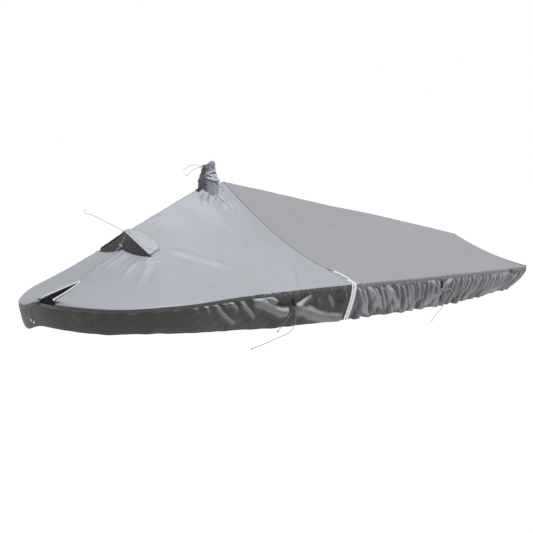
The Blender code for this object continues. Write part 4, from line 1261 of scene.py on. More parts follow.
@dataclass
class Ties:
    """The collar's tie, the vent's cords, and the cords tied to the port loops."""

    finishes: Finishes
    fine: float = 0.003
    thick: float = 0.0035
    knot: float = 0.0055
    knot_thread: float = 0.92
    toggle_scale: float = 2.3
    first_turn: float = 0.9
    next_turn: float = 1.7
    tie_height: float = 0.767
    tie_radius: float = 0.0436
    knot_turn: float = 2.50
    knots: tuple = ("vent_toggle", "fore_tie_near_knot", "fore_tie_far_knot", "mid_tie_knot", "mid_hitch",
                    "collar_knot", "fore_knot", "mid_knot", "stern_knot", "mid_bow_knot")
    brown_knots: tuple = ("fore_tie_near_knot", "fore_tie_far_knot", "mid_tie_knot", "fore_knot")
    pieces: dict = field(default_factory=dict)

    def runs(self) -> tuple[CordRun, ...]:
        """List the cords.

        Returns:
            Every cord with its route.
        """
        fine, thick = self.fine, self.thick
        return (
            CordRun("collar_tail_high", fine, False, "collar_knot", None, End.BARE,
                    ((1.172, 0.036, 0.778), (1.134, 0.034, 0.778), (1.091, 0.029, 0.765),
                     (1.045, 0.024, 0.742))),
            CordRun("collar_tail_low", fine, False, "collar_knot", None, End.BARE,
                    ((1.176, 0.036, 0.758), (1.140, 0.036, 0.745), (1.112, 0.034, 0.725),
                     (1.088, 0.032, 0.713), (1.066, 0.030, 0.722))),
            CordRun("hood_tie", fine, False, None, None, End.FITTING,
                    ((0.5504, 0.0, 0.3850), (0.429, 0.0, 0.438), (0.316, 0.0, 0.486)), "taut",
                    ("hood_hook",)),
            CordRun("vent_cord", fine, False, "vent_toggle", None, End.OBJECT,
                    ((0.532, 0.0, 0.322), (0.547, 0.0, 0.346), (0.553, 0.0, 0.366),
                     (0.5535, 0.0, 0.3811)), "taut"),
            CordRun("vent_tail", fine, False, "vent_toggle", None, End.BARE,
                    ((0.508, -0.001, 0.292), (0.496, -0.003, 0.284), (0.480, -0.003, 0.273),
                     (0.463, -0.002, 0.262))),
            CordRun("fore_tie_near", thick, True, "fore_knot", "fore_tie_near_knot", End.KNOT,
                    ((1.230, -0.722, -0.094), (1.196, -0.703, -0.146)), "taut"),
            CordRun("fore_tie_far", thick, True, "fore_knot", "fore_tie_far_knot", End.KNOT,
                    ((1.275, -0.726, -0.083), (1.288, -0.712, -0.128), (1.293, -0.696, -0.178),
                     (1.292, -0.670, -0.214), (1.300, -0.620, -0.245), (1.335, -0.500, -0.296),
                     (1.347, -0.420, -0.334)), "taut"),
            CordRun("mid_tie", thick, True, "mid_knot", "mid_tie_knot", End.KNOT,
                    ((2.843, -0.808, -0.118), (2.893, -0.788, -0.170), (2.936, -0.762, -0.228),
                     (2.962, -0.720, -0.268), (2.998, -0.666, -0.314)), "taut"),
            CordRun("mid_tie_pale", fine, False, "mid_knot", "mid_hitch", End.KNOT,
                    ((2.870, -0.812, -0.100), (2.916, -0.796, -0.160)), "taut"),
            CordRun("mid_tail", fine, False, "mid_bow_knot", None, End.BARE,
                    ((2.852, -0.830, -0.086), (2.896, -0.832, -0.080), (2.940, -0.826, -0.090),
                     (2.982, -0.816, -0.112), (3.032, -0.806, -0.138), (3.062, -0.792, -0.172))),
            CordRun("mid_bow", fine, False, "mid_bow_knot", "mid_bow_knot", End.OBJECT,
                    ((2.842, -0.832, -0.052), (2.885, -0.836, -0.024), (2.912, -0.836, -0.012),
                     (2.920, -0.834, -0.020), (2.892, -0.832, -0.040), (2.858, -0.826, -0.064))),
            CordRun("stern_tail", fine, False, "stern_knot", None, End.BARE,
                    ((4.068, -0.768, -0.086), (4.080, -0.766, -0.104), (4.086, -0.758, -0.124))),
        )

    def twine(self, brown: bool) -> tuple[Material, str]:
        """The finish of a cord and the record's slot for it."""
        return (self.finishes.brown_cord, "brown_cord") if brown else (self.finishes.pale_cord, "pale_cord")

    def knot_place(self, name: str) -> Array:
        """Centre of a knot, in the frame's axes."""
        low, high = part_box(name)
        return (np.array(low) + np.array(high)) / 2

    def tie_knot(self, name: str, turn: float) -> None:
        """Build one overhand knot.

        Args:
            name: the knot's node.
            turn: how it is turned, so that no two look the same.
        """
        t = np.linspace(0, 2 * np.pi, 72, endpoint=False)
        trefoil = np.stack([np.sin(t) + 2 * np.sin(2 * t), np.cos(t) - 2 * np.cos(2 * t),
                            -1.25 * np.sin(3 * t)], axis=-1)  # 3 across from its middle
        large = self.toggle_scale if name == "vent_toggle" else 1.0
        thread = self.fine / 2 * self.knot_thread * large
        trefoil *= (self.knot * large - thread) / 3.0
        spin = np.array(Quaternion((0.4, 0.7, 0.6), turn).normalized().to_matrix())
        mesh = ring_mesh(name + "_turns", trefoil @ spin.T + self.knot_place(name), thread, 10)
        self.pieces[name] = add_object(name + "_tied", mesh, *self.twine(name in self.brown_knots), [name])

    def lay_cord(self, run: CordRun) -> None:
        """Args:
            run: the cord.
        """
        rows = [np.array(place) - np.array(DATUM) for place in run.route]
        reach = self.knot + FORM.gap / 2
        if run.first:
            knot = self.knot_place(run.first)
            rows.insert(0, knot + unit(rows[0] - knot) * reach)
        if run.last:
            knot = self.knot_place(run.last)
            rows.append(knot + unit(rows[-1] - knot) * reach)
        points = route_points(rows, 6)
        on_it = [self.pieces[name] for name in (run.first, run.last) if name]
        on_it = list(dict.fromkeys(on_it)) + [bpy.data.objects[name] for name in run.pieces]
        self.make_curve(run.name, points, run.diameter, run.brown)

    def make_curve(self, name: str, points: Array, diameter: float, brown: bool) -> None:
        """Args:
            name: the CAD node that it stands for.
            points: its centreline, in the frame's axes.
            diameter: its diameter.
            brown: whether it is brown twine, else pale.
        """
        curve = bpy.data.curves.new(name + "_line", "CURVE")
        curve.dimensions = "3D"
        curve.bevel_depth, curve.bevel_resolution, curve.use_fill_caps = diameter / 2, 3, True
        spline = curve.splines.new("POLY")
        spline.points.add(len(points) - 1)
        for target, point in zip(spline.points, points):
            target.co = (*point, 1.0)
        spline.use_smooth = True
        cord = add_object(name + "_cord", curve, *self.twine(brown), [name])
        self.pieces[name] = cord

    def build(self) -> None:
        """Build every knot and cord."""
        for number, name in enumerate(self.knots):
            self.tie_knot(name, self.first_turn + self.next_turn * number)
        for run in self.runs():
            self.lay_cord(run)
        into_knot = 0.9 * self.knot / self.tie_radius
        turns = np.linspace(self.knot_turn + into_knot, self.knot_turn + 2 * np.pi - into_knot, 64)
        ring = np.stack([self.tie_radius * np.cos(turns), self.tie_radius * np.sin(turns),
                         np.full(turns.shape, self.tie_height - DATUM[2])], axis=-1)
        self.make_curve("collar_tie", ring, self.fine, False)
        for slot in bpy.data.objects["hood_hook"].material_slots:
            slot.material = self.finishes.wire


@dataclass
class Fittings:
    """Webbing loops and press-stud caps."""

    finishes: Finishes
    width: float = 0.020
    thick: float = 0.0016
    hole: float = 0.010
    pinch: float = 0.30
    studs: tuple = (("press_stud_1", 0.0205), ("press_stud_2", 0.0145))
    # Each place on a cap's outline: how far out of the skirt, and its radius.
    stud_profile: tuple = ((-0.0015, 0.0079), (-0.0009, 0.0080), (0.0002, 0.0077), (0.0010, 0.0068),
                           (0.0014, 0.0055), (0.0013, 0.0042), (0.0006, 0.0034), (0.0004, 0.0020),
                           (0.0004, 0.0002))

    def loop(self, name: str, station: float, hand: Hand) -> None:
        """Build one webbing loop where its node is.

        Args:
            name: the loop's name along the side.
            station: its station.
            hand: its side.
        """
        node = "tie_loop_" + name + "_" + hand.value
        low, high = (np.array(corner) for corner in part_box(node))
        outward = FORM.edge_outward(np.array(station))
        if hand is Hand.STARBOARD:
            outward = outward * np.array([1, -1, 1])
        along = np.array([-outward[1], outward[0], 0.0])
        turns = np.linspace(0, 2 * np.pi, 49)[:-1]
        straight = (high[2] - low[2]) / 2 - (self.hole / 2 + self.thick)
        rise = np.where(np.sin(turns) >= 0, straight, -straight)
        shares = np.linspace(-1, 1, 9)
        rows = []
        for radius, over, way in ((self.hole / 2 + self.thick, shares, -1), (self.hole / 2, shares[::-1], 1)):
            ring = np.stack([np.cos(turns) * radius, np.sin(turns) * radius + rise], axis=-1)
            for share in over:
                rounded = ring * (1 + way * self.thick * self.pinch * abs(share) ** 6 / (self.hole / 2))
                rows.append((low + high) / 2 + outward * rounded[:, :1] + np.array(UP) * rounded[:, 1:]
                            + along * share * self.width / 2)
        grid = np.stack(rows + rows[:1], axis=1) + np.array(DATUM)
        mesh = grid_mesh(node + "_band", grid, closed=True)
        add_object(node + "_sewn", mesh, self.finishes.webbing, "black_webbing", [node])

    def stud(self, node: str, station: float) -> None:
        """Build one press-stud cap where its node is.

        Args:
            node: the stud's node.
            station: its station.
        """
        low, high = (np.array(corner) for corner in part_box(node))
        outward = FORM.edge_outward(np.array(station)) * np.array([1, -1, 1])
        turns = 2 * np.pi * np.arange(40) / 40
        across, upward = unit(np.cross(outward, np.array(UP))), np.array(UP)
        rows = [[(low + high) / 2 + outward * out + radius * (math.cos(t) * across + math.sin(t) * upward)
                 for out, radius in self.stud_profile] for t in turns]
        mesh = grid_mesh(node + "_cap_mesh", np.array(rows) + np.array(DATUM), closed=True)
        add_object(node + "_cap", mesh, self.finishes.plastic, "clear_plastic", [node])

    def build(self) -> None:
        """Build the loops and the caps."""
        for name, station in LOOP_STATIONS:
            for hand in Hand:
                self.loop(name, station, hand)
        for node, station in self.studs:
            self.stud(node, station)


# ---- Cloth ----
@dataclass
class Panels:
    """The four panels of the top, each a sheet from the ridge out to its lip."""

    finishes: Finishes
    sheet_thickness: float = 0.0016
    mouth_share: float = 0.357
    mouth_end: float = 0.60
    lip_columns: int = 9
    fore_cut: Pair = (0.98, 1.95)
    aft_cut: Pair = (0.98, 3.05)
    collar_folds: float = 1.5
    seam_slope: float = 0.75
    ridge_seam: float = 0.0045
    seam_quiet: float = 0.016
    ridge_quiet: float = 0.018
    lip_relief: float = 3.0
    fore_columns: tuple[int, int, int] = (44, 44, 26)
    aft_columns: tuple[int, int, int] = (34, 36, 24)
    mouth_rows: int = 8
    slack: tuple[Ripple, Ripple] = (Ripple(0.0016, 0.42), Ripple(0.0018, 0.60))
    small: tuple[Ripple, Ripple] = (Ripple(0.0006, 0.13), Ripple(0.0005, 0.16))
    edge_ripple: tuple[Ripple, Ripple] = (Ripple(0.0011, 0.055), Ripple(0.0014, 0.060))
    corner_ripple: Ripple = Ripple(0.0030, 0.035)
    bow_crinkle: Ripple = Ripple(0.0035, 0.022)
    slot_ripple: Ripple = Ripple(0.0020, 0.06)
    collar_gather: float = 0.0034

    def shares(self, inner: int, middle: int, outer: int) -> Array:
        """Shares of a row, closer where the cloth changes more."""
        return np.concatenate([np.linspace(0, self.mouth_share, inner + 1),
                               np.linspace(self.mouth_share, FORM.slot_share, middle + 1)[1:],
                               np.linspace(FORM.slot_share, 1, outer + 1)[1:]])

    def inner_side(self, station: Array) -> Array:
        """How far the inner edge of a fore panel lies from the centreline."""
        hole = np.sqrt(np.maximum(FORM.collar_hole**2 - (station - FORM.collar_station) ** 2, 0.0))
        return np.maximum(np.maximum(FORM.gap / 2, FORM.nose_half(station)), hole)

    def fan_plan(self, ridge: Array, shares: Array) -> tuple[Array, Array]:
        """Lay out rows that fan from the inner edge to the panel's edge.

        Args:
            ridge: where the rows start.
            shares: the shares of a row.

        Returns:
            Station and side of the points.
        """
        edge = np.interp(ridge, FORM.fan_ridge, FORM.fan_edge)
        inner = -self.inner_side(ridge)
        station = ridge[:, None] * (1 - shares) + edge[:, None] * shares
        side = inner[:, None] * (1 - shares) - FORM.half_width(edge)[:, None] * shares
        return station, side

    def mouth_plan(self, way: int, shares: Array) -> tuple[Array, Array]:
        """Lay out one edge of the vent's mouth, on to the panel's edge.

        Args:
            way: -1 for the lower edge, 1 for the upper one.
            shares: the shares of a row.

        Returns:
            Station and side of the row.
        """
        edge = np.array([FORM.vent_station + way * FORM.mouth_corner])
        station = FORM.vent_station * (1 - shares) + edge[:, None] * shares
        side = -FORM.gap / 2 * (1 - shares) - FORM.half_width(edge)[:, None] * shares
        shift = FORM.mouth_shift(side) * np.where(np.abs(side) > self.mouth_end, 0.0, 1.0)
        return station + way * shift, side

    def seam_plan(self, way: int, shares: Array) -> tuple[Array, Array]:
        """Lay out the row along the seam and the side slot.

        Args:
            way: -1 for the fore panel, 1 for the aft one.
            shares: the shares of a row.

        Returns:
            Station and side of the row.
        """
        out = FORM.seam_side(shares)
        station = FORM.seam_at(out) + way * FORM.slot_half(out)
        station[-1] = FORM.slot_station + way * FORM.slot_half_width
        return station[None], -out[None]

    def between(self, first: tuple, last: tuple, count: int) -> tuple[Array, Array]:
        """Lay out rows between two others.

        Args:
            first: station and side of the block of rows before them.
            last: station and side of the block after them.
            count: how many steps it is from the one to the other.

        Returns:
            Station and side of the rows, one less than the steps.
        """
        steps = (np.arange(1, count) / count)[:, None]
        station = first[0][-1:] * (1 - steps) + last[0][:1] * steps
        side = first[1][-1:] * (1 - steps) + last[1][:1] * steps
        side = side * (FORM.half_width(station[:, -1]) / -side[:, -1])[:, None]
        return station, side

    def raise_rows(self, plan: Sequence[tuple[Array, Array]], lower: Sequence[bool]) -> Array:
        """Put rows in plan on the form, with their lip.

        Args:
            plan: blocks of rows, as station and side.
            lower: for each block, whether it sags before the vent's mouth.

        Returns:
            The grid of points.
        """
        blocks = []
        lip_shares = np.linspace(0, 1, self.lip_columns)[1:]
        for (station, side), sags in zip(plan, lower):
            top = FORM.top(station, side, sags)
            blocks.append(np.concatenate([top, FORM.lip(station[:, -1], lip_shares)], axis=1))
        return np.concatenate(blocks)

    def fore_grid(self) -> tuple[Array, Array, int]:
        """Lay out the port fore panel.

        Returns:
            Its grid, its open cells, and the row of the vent's lower lip.
        """
        shares = self.shares(*self.fore_columns)
        before_mouth = np.concatenate([np.linspace(0.004, 0.225, 30), np.linspace(0.235, 0.495, 32)])
        bow = self.fan_plan(before_mouth, shares)
        mouth, upper = self.mouth_plan(-1, shares), self.mouth_plan(1, shares)
        slope = self.fan_plan(np.linspace(0.625, 1.192, 70), shares)
        peak = [self.fan_plan(np.array([ridge]), shares) for ridge in np.linspace(1.20, 1.30, 6)]
        seam = self.seam_plan(-1, shares)
        plan = [bow, self.between(bow, mouth, self.mouth_rows), mouth,
                upper, self.between(upper, slope, 9), slope]
        sags = [True] * 3 + [False] * 3
        for first, last in zip(peak, peak[1:]):
            plan += [first, self.between(first, last, 4)]
        plan += [peak[-1], self.between(peak[-1], seam, 14), seam]
        grid = self.raise_rows(plan, sags + [False] * (len(plan) - len(sags)))
        row = len(before_mouth) + self.mouth_rows - 1
        opened = np.zeros((len(grid) - 1, grid.shape[1] - 1), bool)
        opened[row, :self.fore_columns[0]] = True
        return grid, opened, row

    def settle(self, station: Array, side: Array, lift: Array) -> Array:
        """Let the folds die away at the ridge and beside the seam."""
        beside_seam = bell(station - FORM.seam_at(-side), self.seam_quiet)
        return lift * ramp(-side, 0.0, self.ridge_quiet) * (1 - beside_seam)

    def fore_folds(self, grid: Array, row: int, hand: Hand) -> Array:
        """Fold the fore panel.

        Args:
            grid: its points without folds.
            row: the row of the vent's lower lip.
            hand: the side that it is for.

        Returns:
            How far each point stands off the form.
        """
        station, side = grid[..., 0], grid[..., 1]
        seed = 3 if hand is Hand.PORT else 8
        lift = self.slack[0].lift(station, side, seed) + self.small[0].lift(station, side, seed + 1)
        near_collar = bell(np.hypot(station - FORM.collar_station, side) - 0.075, 0.045)
        turn = np.arctan2(side, station - FORM.collar_station)
        lift += self.collar_gather * near_collar * np.sin(26 * turn + 2.5 * np.sin(3 * turn + seed))
        for crease in PANEL_CREASES:
            lift += crease.lift(station, side)
        for crease in COLLAR_CREASES:
            lift += self.collar_folds * crease.lift(station, side)
        before_mouth = (np.arange(len(grid)) <= row).astype(float)[:, None]
        for crease in LOWER_LIP_CREASES:
            lift += crease.lift(station, side) * before_mouth
        corner = bell(np.hypot(station - 0.555, side + 0.245), 0.05)
        lift += corner * self.corner_ripple.lift(station, side, seed + 5)
        edge = self.edge_ripple[0].lift(FORM.length_at(station), side * 0.3, seed + 2)
        lift += edge * bell(side + FORM.half_width(station), 0.05) * ramp(station, 0.35, 0.9)
        at_bow = bell(station, 0.055) * bell(side + 0.05, 0.06)
        lift += at_bow * self.bow_crinkle.lift(station, side, seed + 7)
        return self.settle(station, side, lift)

    def aft_grid(self) -> Array:
        """Lay out the port aft panel.

        Returns:
            Its grid.
        """
        shares = self.shares(*self.aft_columns)
        seam = self.seam_plan(1, shares)
        rest = self.fan_plan(np.linspace(1.58, FORM.length, 196), shares)
        return self.raise_rows([seam, self.between(seam, rest, 22), rest], [False] * 3)

    def aft_folds(self, grid: Array, hand: Hand) -> Array:
        """Fold the aft panel.

        Args:
            grid: its points without folds.
            hand: the side that it is for.

        Returns:
            How far each point stands off the form.
        """
        station, side = grid[..., 0], grid[..., 1]
        seed = 31 if hand is Hand.PORT else 37
        lift = self.slack[1].lift(station, side, seed) + self.small[1].lift(station, side, seed + 1)
        for crease in AFT_CREASES:
            lift += crease.lift(station, side)
        edge = self.edge_ripple[1].lift(station, side * 0.3, seed + 2)
        lift += edge * bell(side + FORM.half_width(station), 0.045)
        at_slot = bell(station - 1.86, 0.09) * ramp(-side, 0.5, 0.7)
        lift += at_slot * self.slot_ripple.lift(station, side, seed + 3)
        return self.settle(station, side, lift)

    def finish_panel(self, name: str, hand: Hand, grid: Array, lift: Array, opened: Optional[Array],
                     finish: Material) -> None:
        """Args:
            name: the panel's name without its side.
            hand: its side.
            grid: its port grid, without folds.
            lift: how far each point stands off it.
            opened: its open cells.
            finish: its material.
        """
        lip = np.arange(grid.shape[1]) >= grid.shape[1] - self.lip_columns + 2
        inboard = FORM.half_width(grid[..., 0]) + grid[..., 1]
        drop = np.where(lip[None, :], FORM.edge_height(grid[..., 0]) - grid[..., 2], -inboard)
        gathered = lip_lift(grid[..., 0], drop, hand)
        # the lip's gathers, marked for the finish's painted light on ridges and painted shade in hollows
        relief = self.lip_relief * gathered
        lift = np.where(lip[None, :], 0.4 * lift, lift) + gathered
        seam = np.abs(grid[..., 0] - FORM.seam_at(-grid[..., 1])) * self.seam_slope
        seam = np.where(lip[None, :], 1.0, np.minimum(seam, np.abs(grid[..., 1]) + self.ridge_seam))
        folded = grid + grid_normals(grid) * lift[..., None]
        if hand is Hand.STARBOARD:
            seam, relief = seam[:, ::-1], relief[:, ::-1]
            folded = starboard_of(folded)
            opened = None if opened is None else opened[:, ::-1]
        node = name + "_" + hand.value
        mesh = grid_mesh(node + "_sheet", folded, opened, seam=seam, relief=relief)
        piece = add_object(node + "_cloth", mesh, finish, "panel_cloth", [node])
        thicken(piece, self.sheet_thickness, self.finishes.inside)

    def build(self) -> None:
        """Build the four panels."""
        fore, opened, row = self.fore_grid()
        aft = self.aft_grid()
        for hand in Hand:
            self.finish_panel("fore_panel", hand, fore, self.fore_folds(fore, row, hand), opened,
                              self.finishes.fore_panel)
            self.finish_panel("aft_panel", hand, aft, self.aft_folds(aft, hand), None,
                              self.finishes.aft_panel)


def hand_shift(hand: Hand) -> float:
    """How far the starboard folds are moved along, so that they don't mirror the port ones."""
    return 0.0 if hand is Hand.PORT else 0.021


def lip_lift(station: Array, drop: Array, hand: Hand) -> Array:
    """How far the small folds under the edge lift the cloth.

    Args:
        station: station of each point.
        drop: how far it lies under the edge, or below 0 inboard of it.
        hand: the side.

    Returns:
        The lift, in metres.
    """
    along = FORM.length_at(station) + hand_shift(hand)
    total = sum(run.lift(along, drop) for run in LIP_GATHERS)
    beside_slot = ramp(np.abs(station - FORM.slot_station), 0.022, 0.060)
    return np.maximum(total, 0.0) * beside_slot * FORM.before_stern(station)


@dataclass(frozen=True)
class SkirtCut:
    """One skirt: its ends, its cloth, and its folds."""

    name: str
    first: float
    last: float
    flat: Pair
    creases: tuple[Crease, ...]
    gathers: tuple[Gathers, ...]
    wave: float  # share of the construction's wave that it keeps
    hem: float  # how uneven its lower edge is
    strength: float  # how deep its runs of folds are


FORE_SKIRT = SkirtCut("fore_skirt", 0.0000004, FORM.slot_station - FORM.slot_half_width, (0.26, 2.45),
                      FORE_SKIRT_CREASES, FORE_GATHERS, wave=0.20, hem=0.0012, strength=1.0)
AFT_SKIRT = SkirtCut("aft_skirt", FORM.slot_station + FORM.slot_half_width, FORM.length, (0.27, 2.95),
                     AFT_SKIRT_CREASES, AFT_GATHERS, wave=0.55, hem=0.0045, strength=1.3)


@dataclass
class Skirts:
    """The four skirts that hang from the lip, with their gathers and creases."""

    finishes: Finishes
    sheet_thickness: float = 0.0014
    tucked: float = 0.010
    columns: int = 40
    spacing: float = 0.0056
    loop_half_width: float = 0.010
    loop_clearance: float = 0.0008
    loop_fade: float = 0.011
    crease_height: float = 1.2
    crease_width: float = 1.3
    under_lip: float = 0.0034
    ripple: Ripple = Ripple(0.0012, 0.09)
    drawn_in: float = 0.30
    gathered_share: float = 1.08

    def cad_wave(self, length: Array, share: Array) -> Array:
        """The construction's own fold line.

        Args:
            length: distance of the points along the edge.
            share: how far down the skirt they are.

        Returns:
            The wave, between -1 and 1.
        """
        at = length + 0.05 * share
        bend = 0.9 * np.sin(2.3 * at + 0.4) + 0.5 * np.sin(5.1 * at)
        return 0.72 * np.sin(2 * np.pi * at / 0.130 + bend) + 0.28 * np.sin(2 * np.pi * at / 0.310)

    def quiet(self, station: Array) -> Array:
        """0 beside the side slot and at both ends, else 1."""
        beside_slot = ramp(np.abs(station - FORM.slot_station), 0.022, 0.075)
        return beside_slot * ramp(FORM.length_at(station), 0.03, 0.16) * FORM.before_stern(station)

    def folds(self, length: Array, drop: Array, cut: SkirtCut, hand: Hand) -> Array:
        """Fold a skirt by its listed creases, its runs of gathers and those of the lip.

        Args:
            length: distance of the points along the edge.
            drop: how far they lie under it.
            cut: the skirt's own sizes and folds.
            hand: the side that it is for.

        Returns:
            How far the folds lift each point.
        """
        lift = sum(cut.strength * run.lift(length + hand_shift(hand), drop) for run in cut.gathers)
        for crease in cut.creases:
            turned = Crease(tuple((float(FORM.length_at(x)), y) for x, y in crease.route),
                            crease.height * self.crease_height, crease.width * self.crease_width, crease.fade)
            lift = lift + turned.lift(length, drop)
        lift = lift + lip_lift(FORM.station_at(length), drop, hand)
        return lift + self.ripple.lift(length, drop, 5 if hand is Hand.PORT else 6)

    def grid(self, cut: SkirtCut, hand: Hand) -> tuple[Array, Array, float]:
        """One port skirt.

        Args:
            cut: the skirt's own sizes and folds.
            hand: the side that it is for.

        Returns:
            The grid of points, how far each stands on a fold, and the cloth's area without small folds.
        """
        begin, stop = float(FORM.length_at(cut.first)), float(FORM.length_at(cut.last))
        lengths = np.linspace(begin, stop, int((stop - begin) / self.spacing))
        station = FORM.station_at(lengths)
        depth = np.interp(station, FORM.skirt_station, FORM.skirt_depth)
        top = FORM.lip_drop - self.tucked
        drop = top + (depth[:, None] - top) * np.linspace(0, 1, self.columns)
        station_grid, length_grid = (np.repeat(x[:, None], self.columns, axis=1) for x in (station, lengths))
        below = ramp(drop, FORM.lip_drop - 0.002, FORM.lip_drop + 0.006)
        out = FORM.skirt_out(station_grid, drop) - self.under_lip * (1 - below)
        share = np.clip((drop - FORM.lip_drop) / (depth[:, None] - FORM.lip_drop), 0, 1)
        gather = np.interp(station, FORM.skirt_station, FORM.skirt_gather)[:, None]
        quiet = self.quiet(station)[:, None]
        lift = cut.wave * gather * self.cad_wave(length_grid, share) * ramp(share, 0.12, 0.7)
        lift = lift * ramp(station, 0.7, 1.1)[:, None] + self.folds(length_grid, drop, cut, hand)
        lift = (lift - self.drawn_in * np.mean(np.abs(lift))) * below * quiet
        lift = self.settle_at_loops(lift, out, station_grid, drop, hand)
        hem_rise = cut.hem * waves(lengths, lengths * 0, 9, 0.11)[:, None] * share**2 * quiet
        outward = FORM.edge_outward(station)[:, None]
        points = FORM.edge_point(station)[:, None] + outward * (out + lift)[..., None]
        points[..., 2] -= drop - hem_rise
        return points, lift * below, float((lengths[-1] - lengths[0]) * depth.mean())

    def settle_at_loops(self, lift: Array, out: Array, station: Array, drop: Array, hand: Hand) -> Array:
        """Draw the cloth to the webbing loops, so that none stands off it or sinks into it.

        Args:
            lift: how far each point stands out by its folds.
            out: how far it hangs out of the edge without them.
            station: its station.
            drop: how far it is under the edge.
            hand: the side that the skirt is for.

        Returns:
            The lift after settling.
        """
        for name, at in LOOP_STATIONS:
            node = "tie_loop_" + name + "_" + hand.value
            low, high = (np.array(corner) + np.array(DATUM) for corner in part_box(node))
            inboard = min(abs(low[1]), abs(high[1]))
            edge = FORM.edge_point(np.array(at))
            seat = (inboard + edge[1]) / abs(float(FORM.edge_outward(np.array(at))[1]))
            middle = float(edge[2]) - (low[2] + high[2]) / 2
            reach = (high[2] - low[2]) / 2
            aside = np.maximum(np.abs(station - at) - self.loop_half_width, 0.0)
            above = np.maximum(np.abs(drop - middle) - reach, 0.0)
            near = bell(np.hypot(aside, above), self.loop_fade)
            target = seat - self.sheet_thickness - self.loop_clearance - out
            lift = lift * (1 - near) + target * near
        return lift

    def build(self) -> None:
        """Build the four skirts."""
        for hand in Hand:
            for cut, finish in ((FORE_SKIRT, self.finishes.fore_skirt), (AFT_SKIRT, self.finishes.aft_skirt)):
                grid, relief, area = self.grid(cut, hand)
                if hand is Hand.STARBOARD:
                    grid, relief = starboard_of(grid), relief[:, ::-1]
                node = cut.name + "_" + hand.value
                mesh = grid_mesh(node + "_sheet", grid, relief=relief)
                piece = add_object(node + "_cloth", mesh, finish, "skirt_cloth", [node])
                thicken(piece, self.sheet_thickness, self.finishes.inside)
                area = min(area * self.gathered_share, cut.flat[0] * cut.flat[1])
                log.info("%s: %.2f m2", node, area)


@dataclass
class Stern:
    """The panel that closes the cover across the stern."""

    finishes: Finishes
    columns: int = 60
    rows: int = 160
    sheet_thickness: float = 0.0016
    hollow: float = 0.004
    broad: Ripple = Ripple(0.5, 0.11)
    narrow: Ripple = Ripple(0.25, 0.05)
    cut: Pair = (0.44, 1.45)

    def grid(self) -> Array:
        """Rows of points down the stern panel, from port to starboard.

        Returns:
            The grid of points.
        """
        width = float(FORM.half_width(np.array(FORM.length))) + FORM.lip_out
        tuck = FORM.skirt_tuck[-1] + FORM.lip_out
        depth = FORM.skirt_depth[-1]
        edge = float(FORM.edge_height(np.array(FORM.length)))
        across = np.linspace(-1, 1, self.rows)[:, None]
        share = np.linspace(0, 1, self.columns)[None, :]
        inner = FORM.top(np.full(across.shape, FORM.length), across * (width - FORM.lip_out))
        top = inner[..., 2] + FORM.cloth
        height = top + (edge - depth - FORM.gap - top) * share
        below = np.maximum(0.0, edge - FORM.lip_drop - height) / (depth - FORM.lip_drop)
        side = across * (width - tuck * below**1.5)
        inward = (0.5 - 0.5 * np.cos(2 * np.pi * share)) * ramp(1 - np.abs(across), 0.0, 0.12)
        folds = (self.broad.lift(side, height * 0.18, 44)
                 + self.narrow.lift(side + 0.25 * height, height * 0.1, 45))
        station = FORM.length + FORM.gap + inward * self.hollow * (folds - 1)
        return np.stack(np.broadcast_arrays(station, side, height), axis=-1)

    def build(self) -> None:
        """Build the stern panel."""
        grid = self.grid()
        mesh = grid_mesh("stern_sheet", grid)
        piece = add_object("stern_panel_cloth", mesh, self.finishes.stern, "skirt_cloth", ["stern_panel"])
        thicken(piece, self.sheet_thickness, self.finishes.inside)


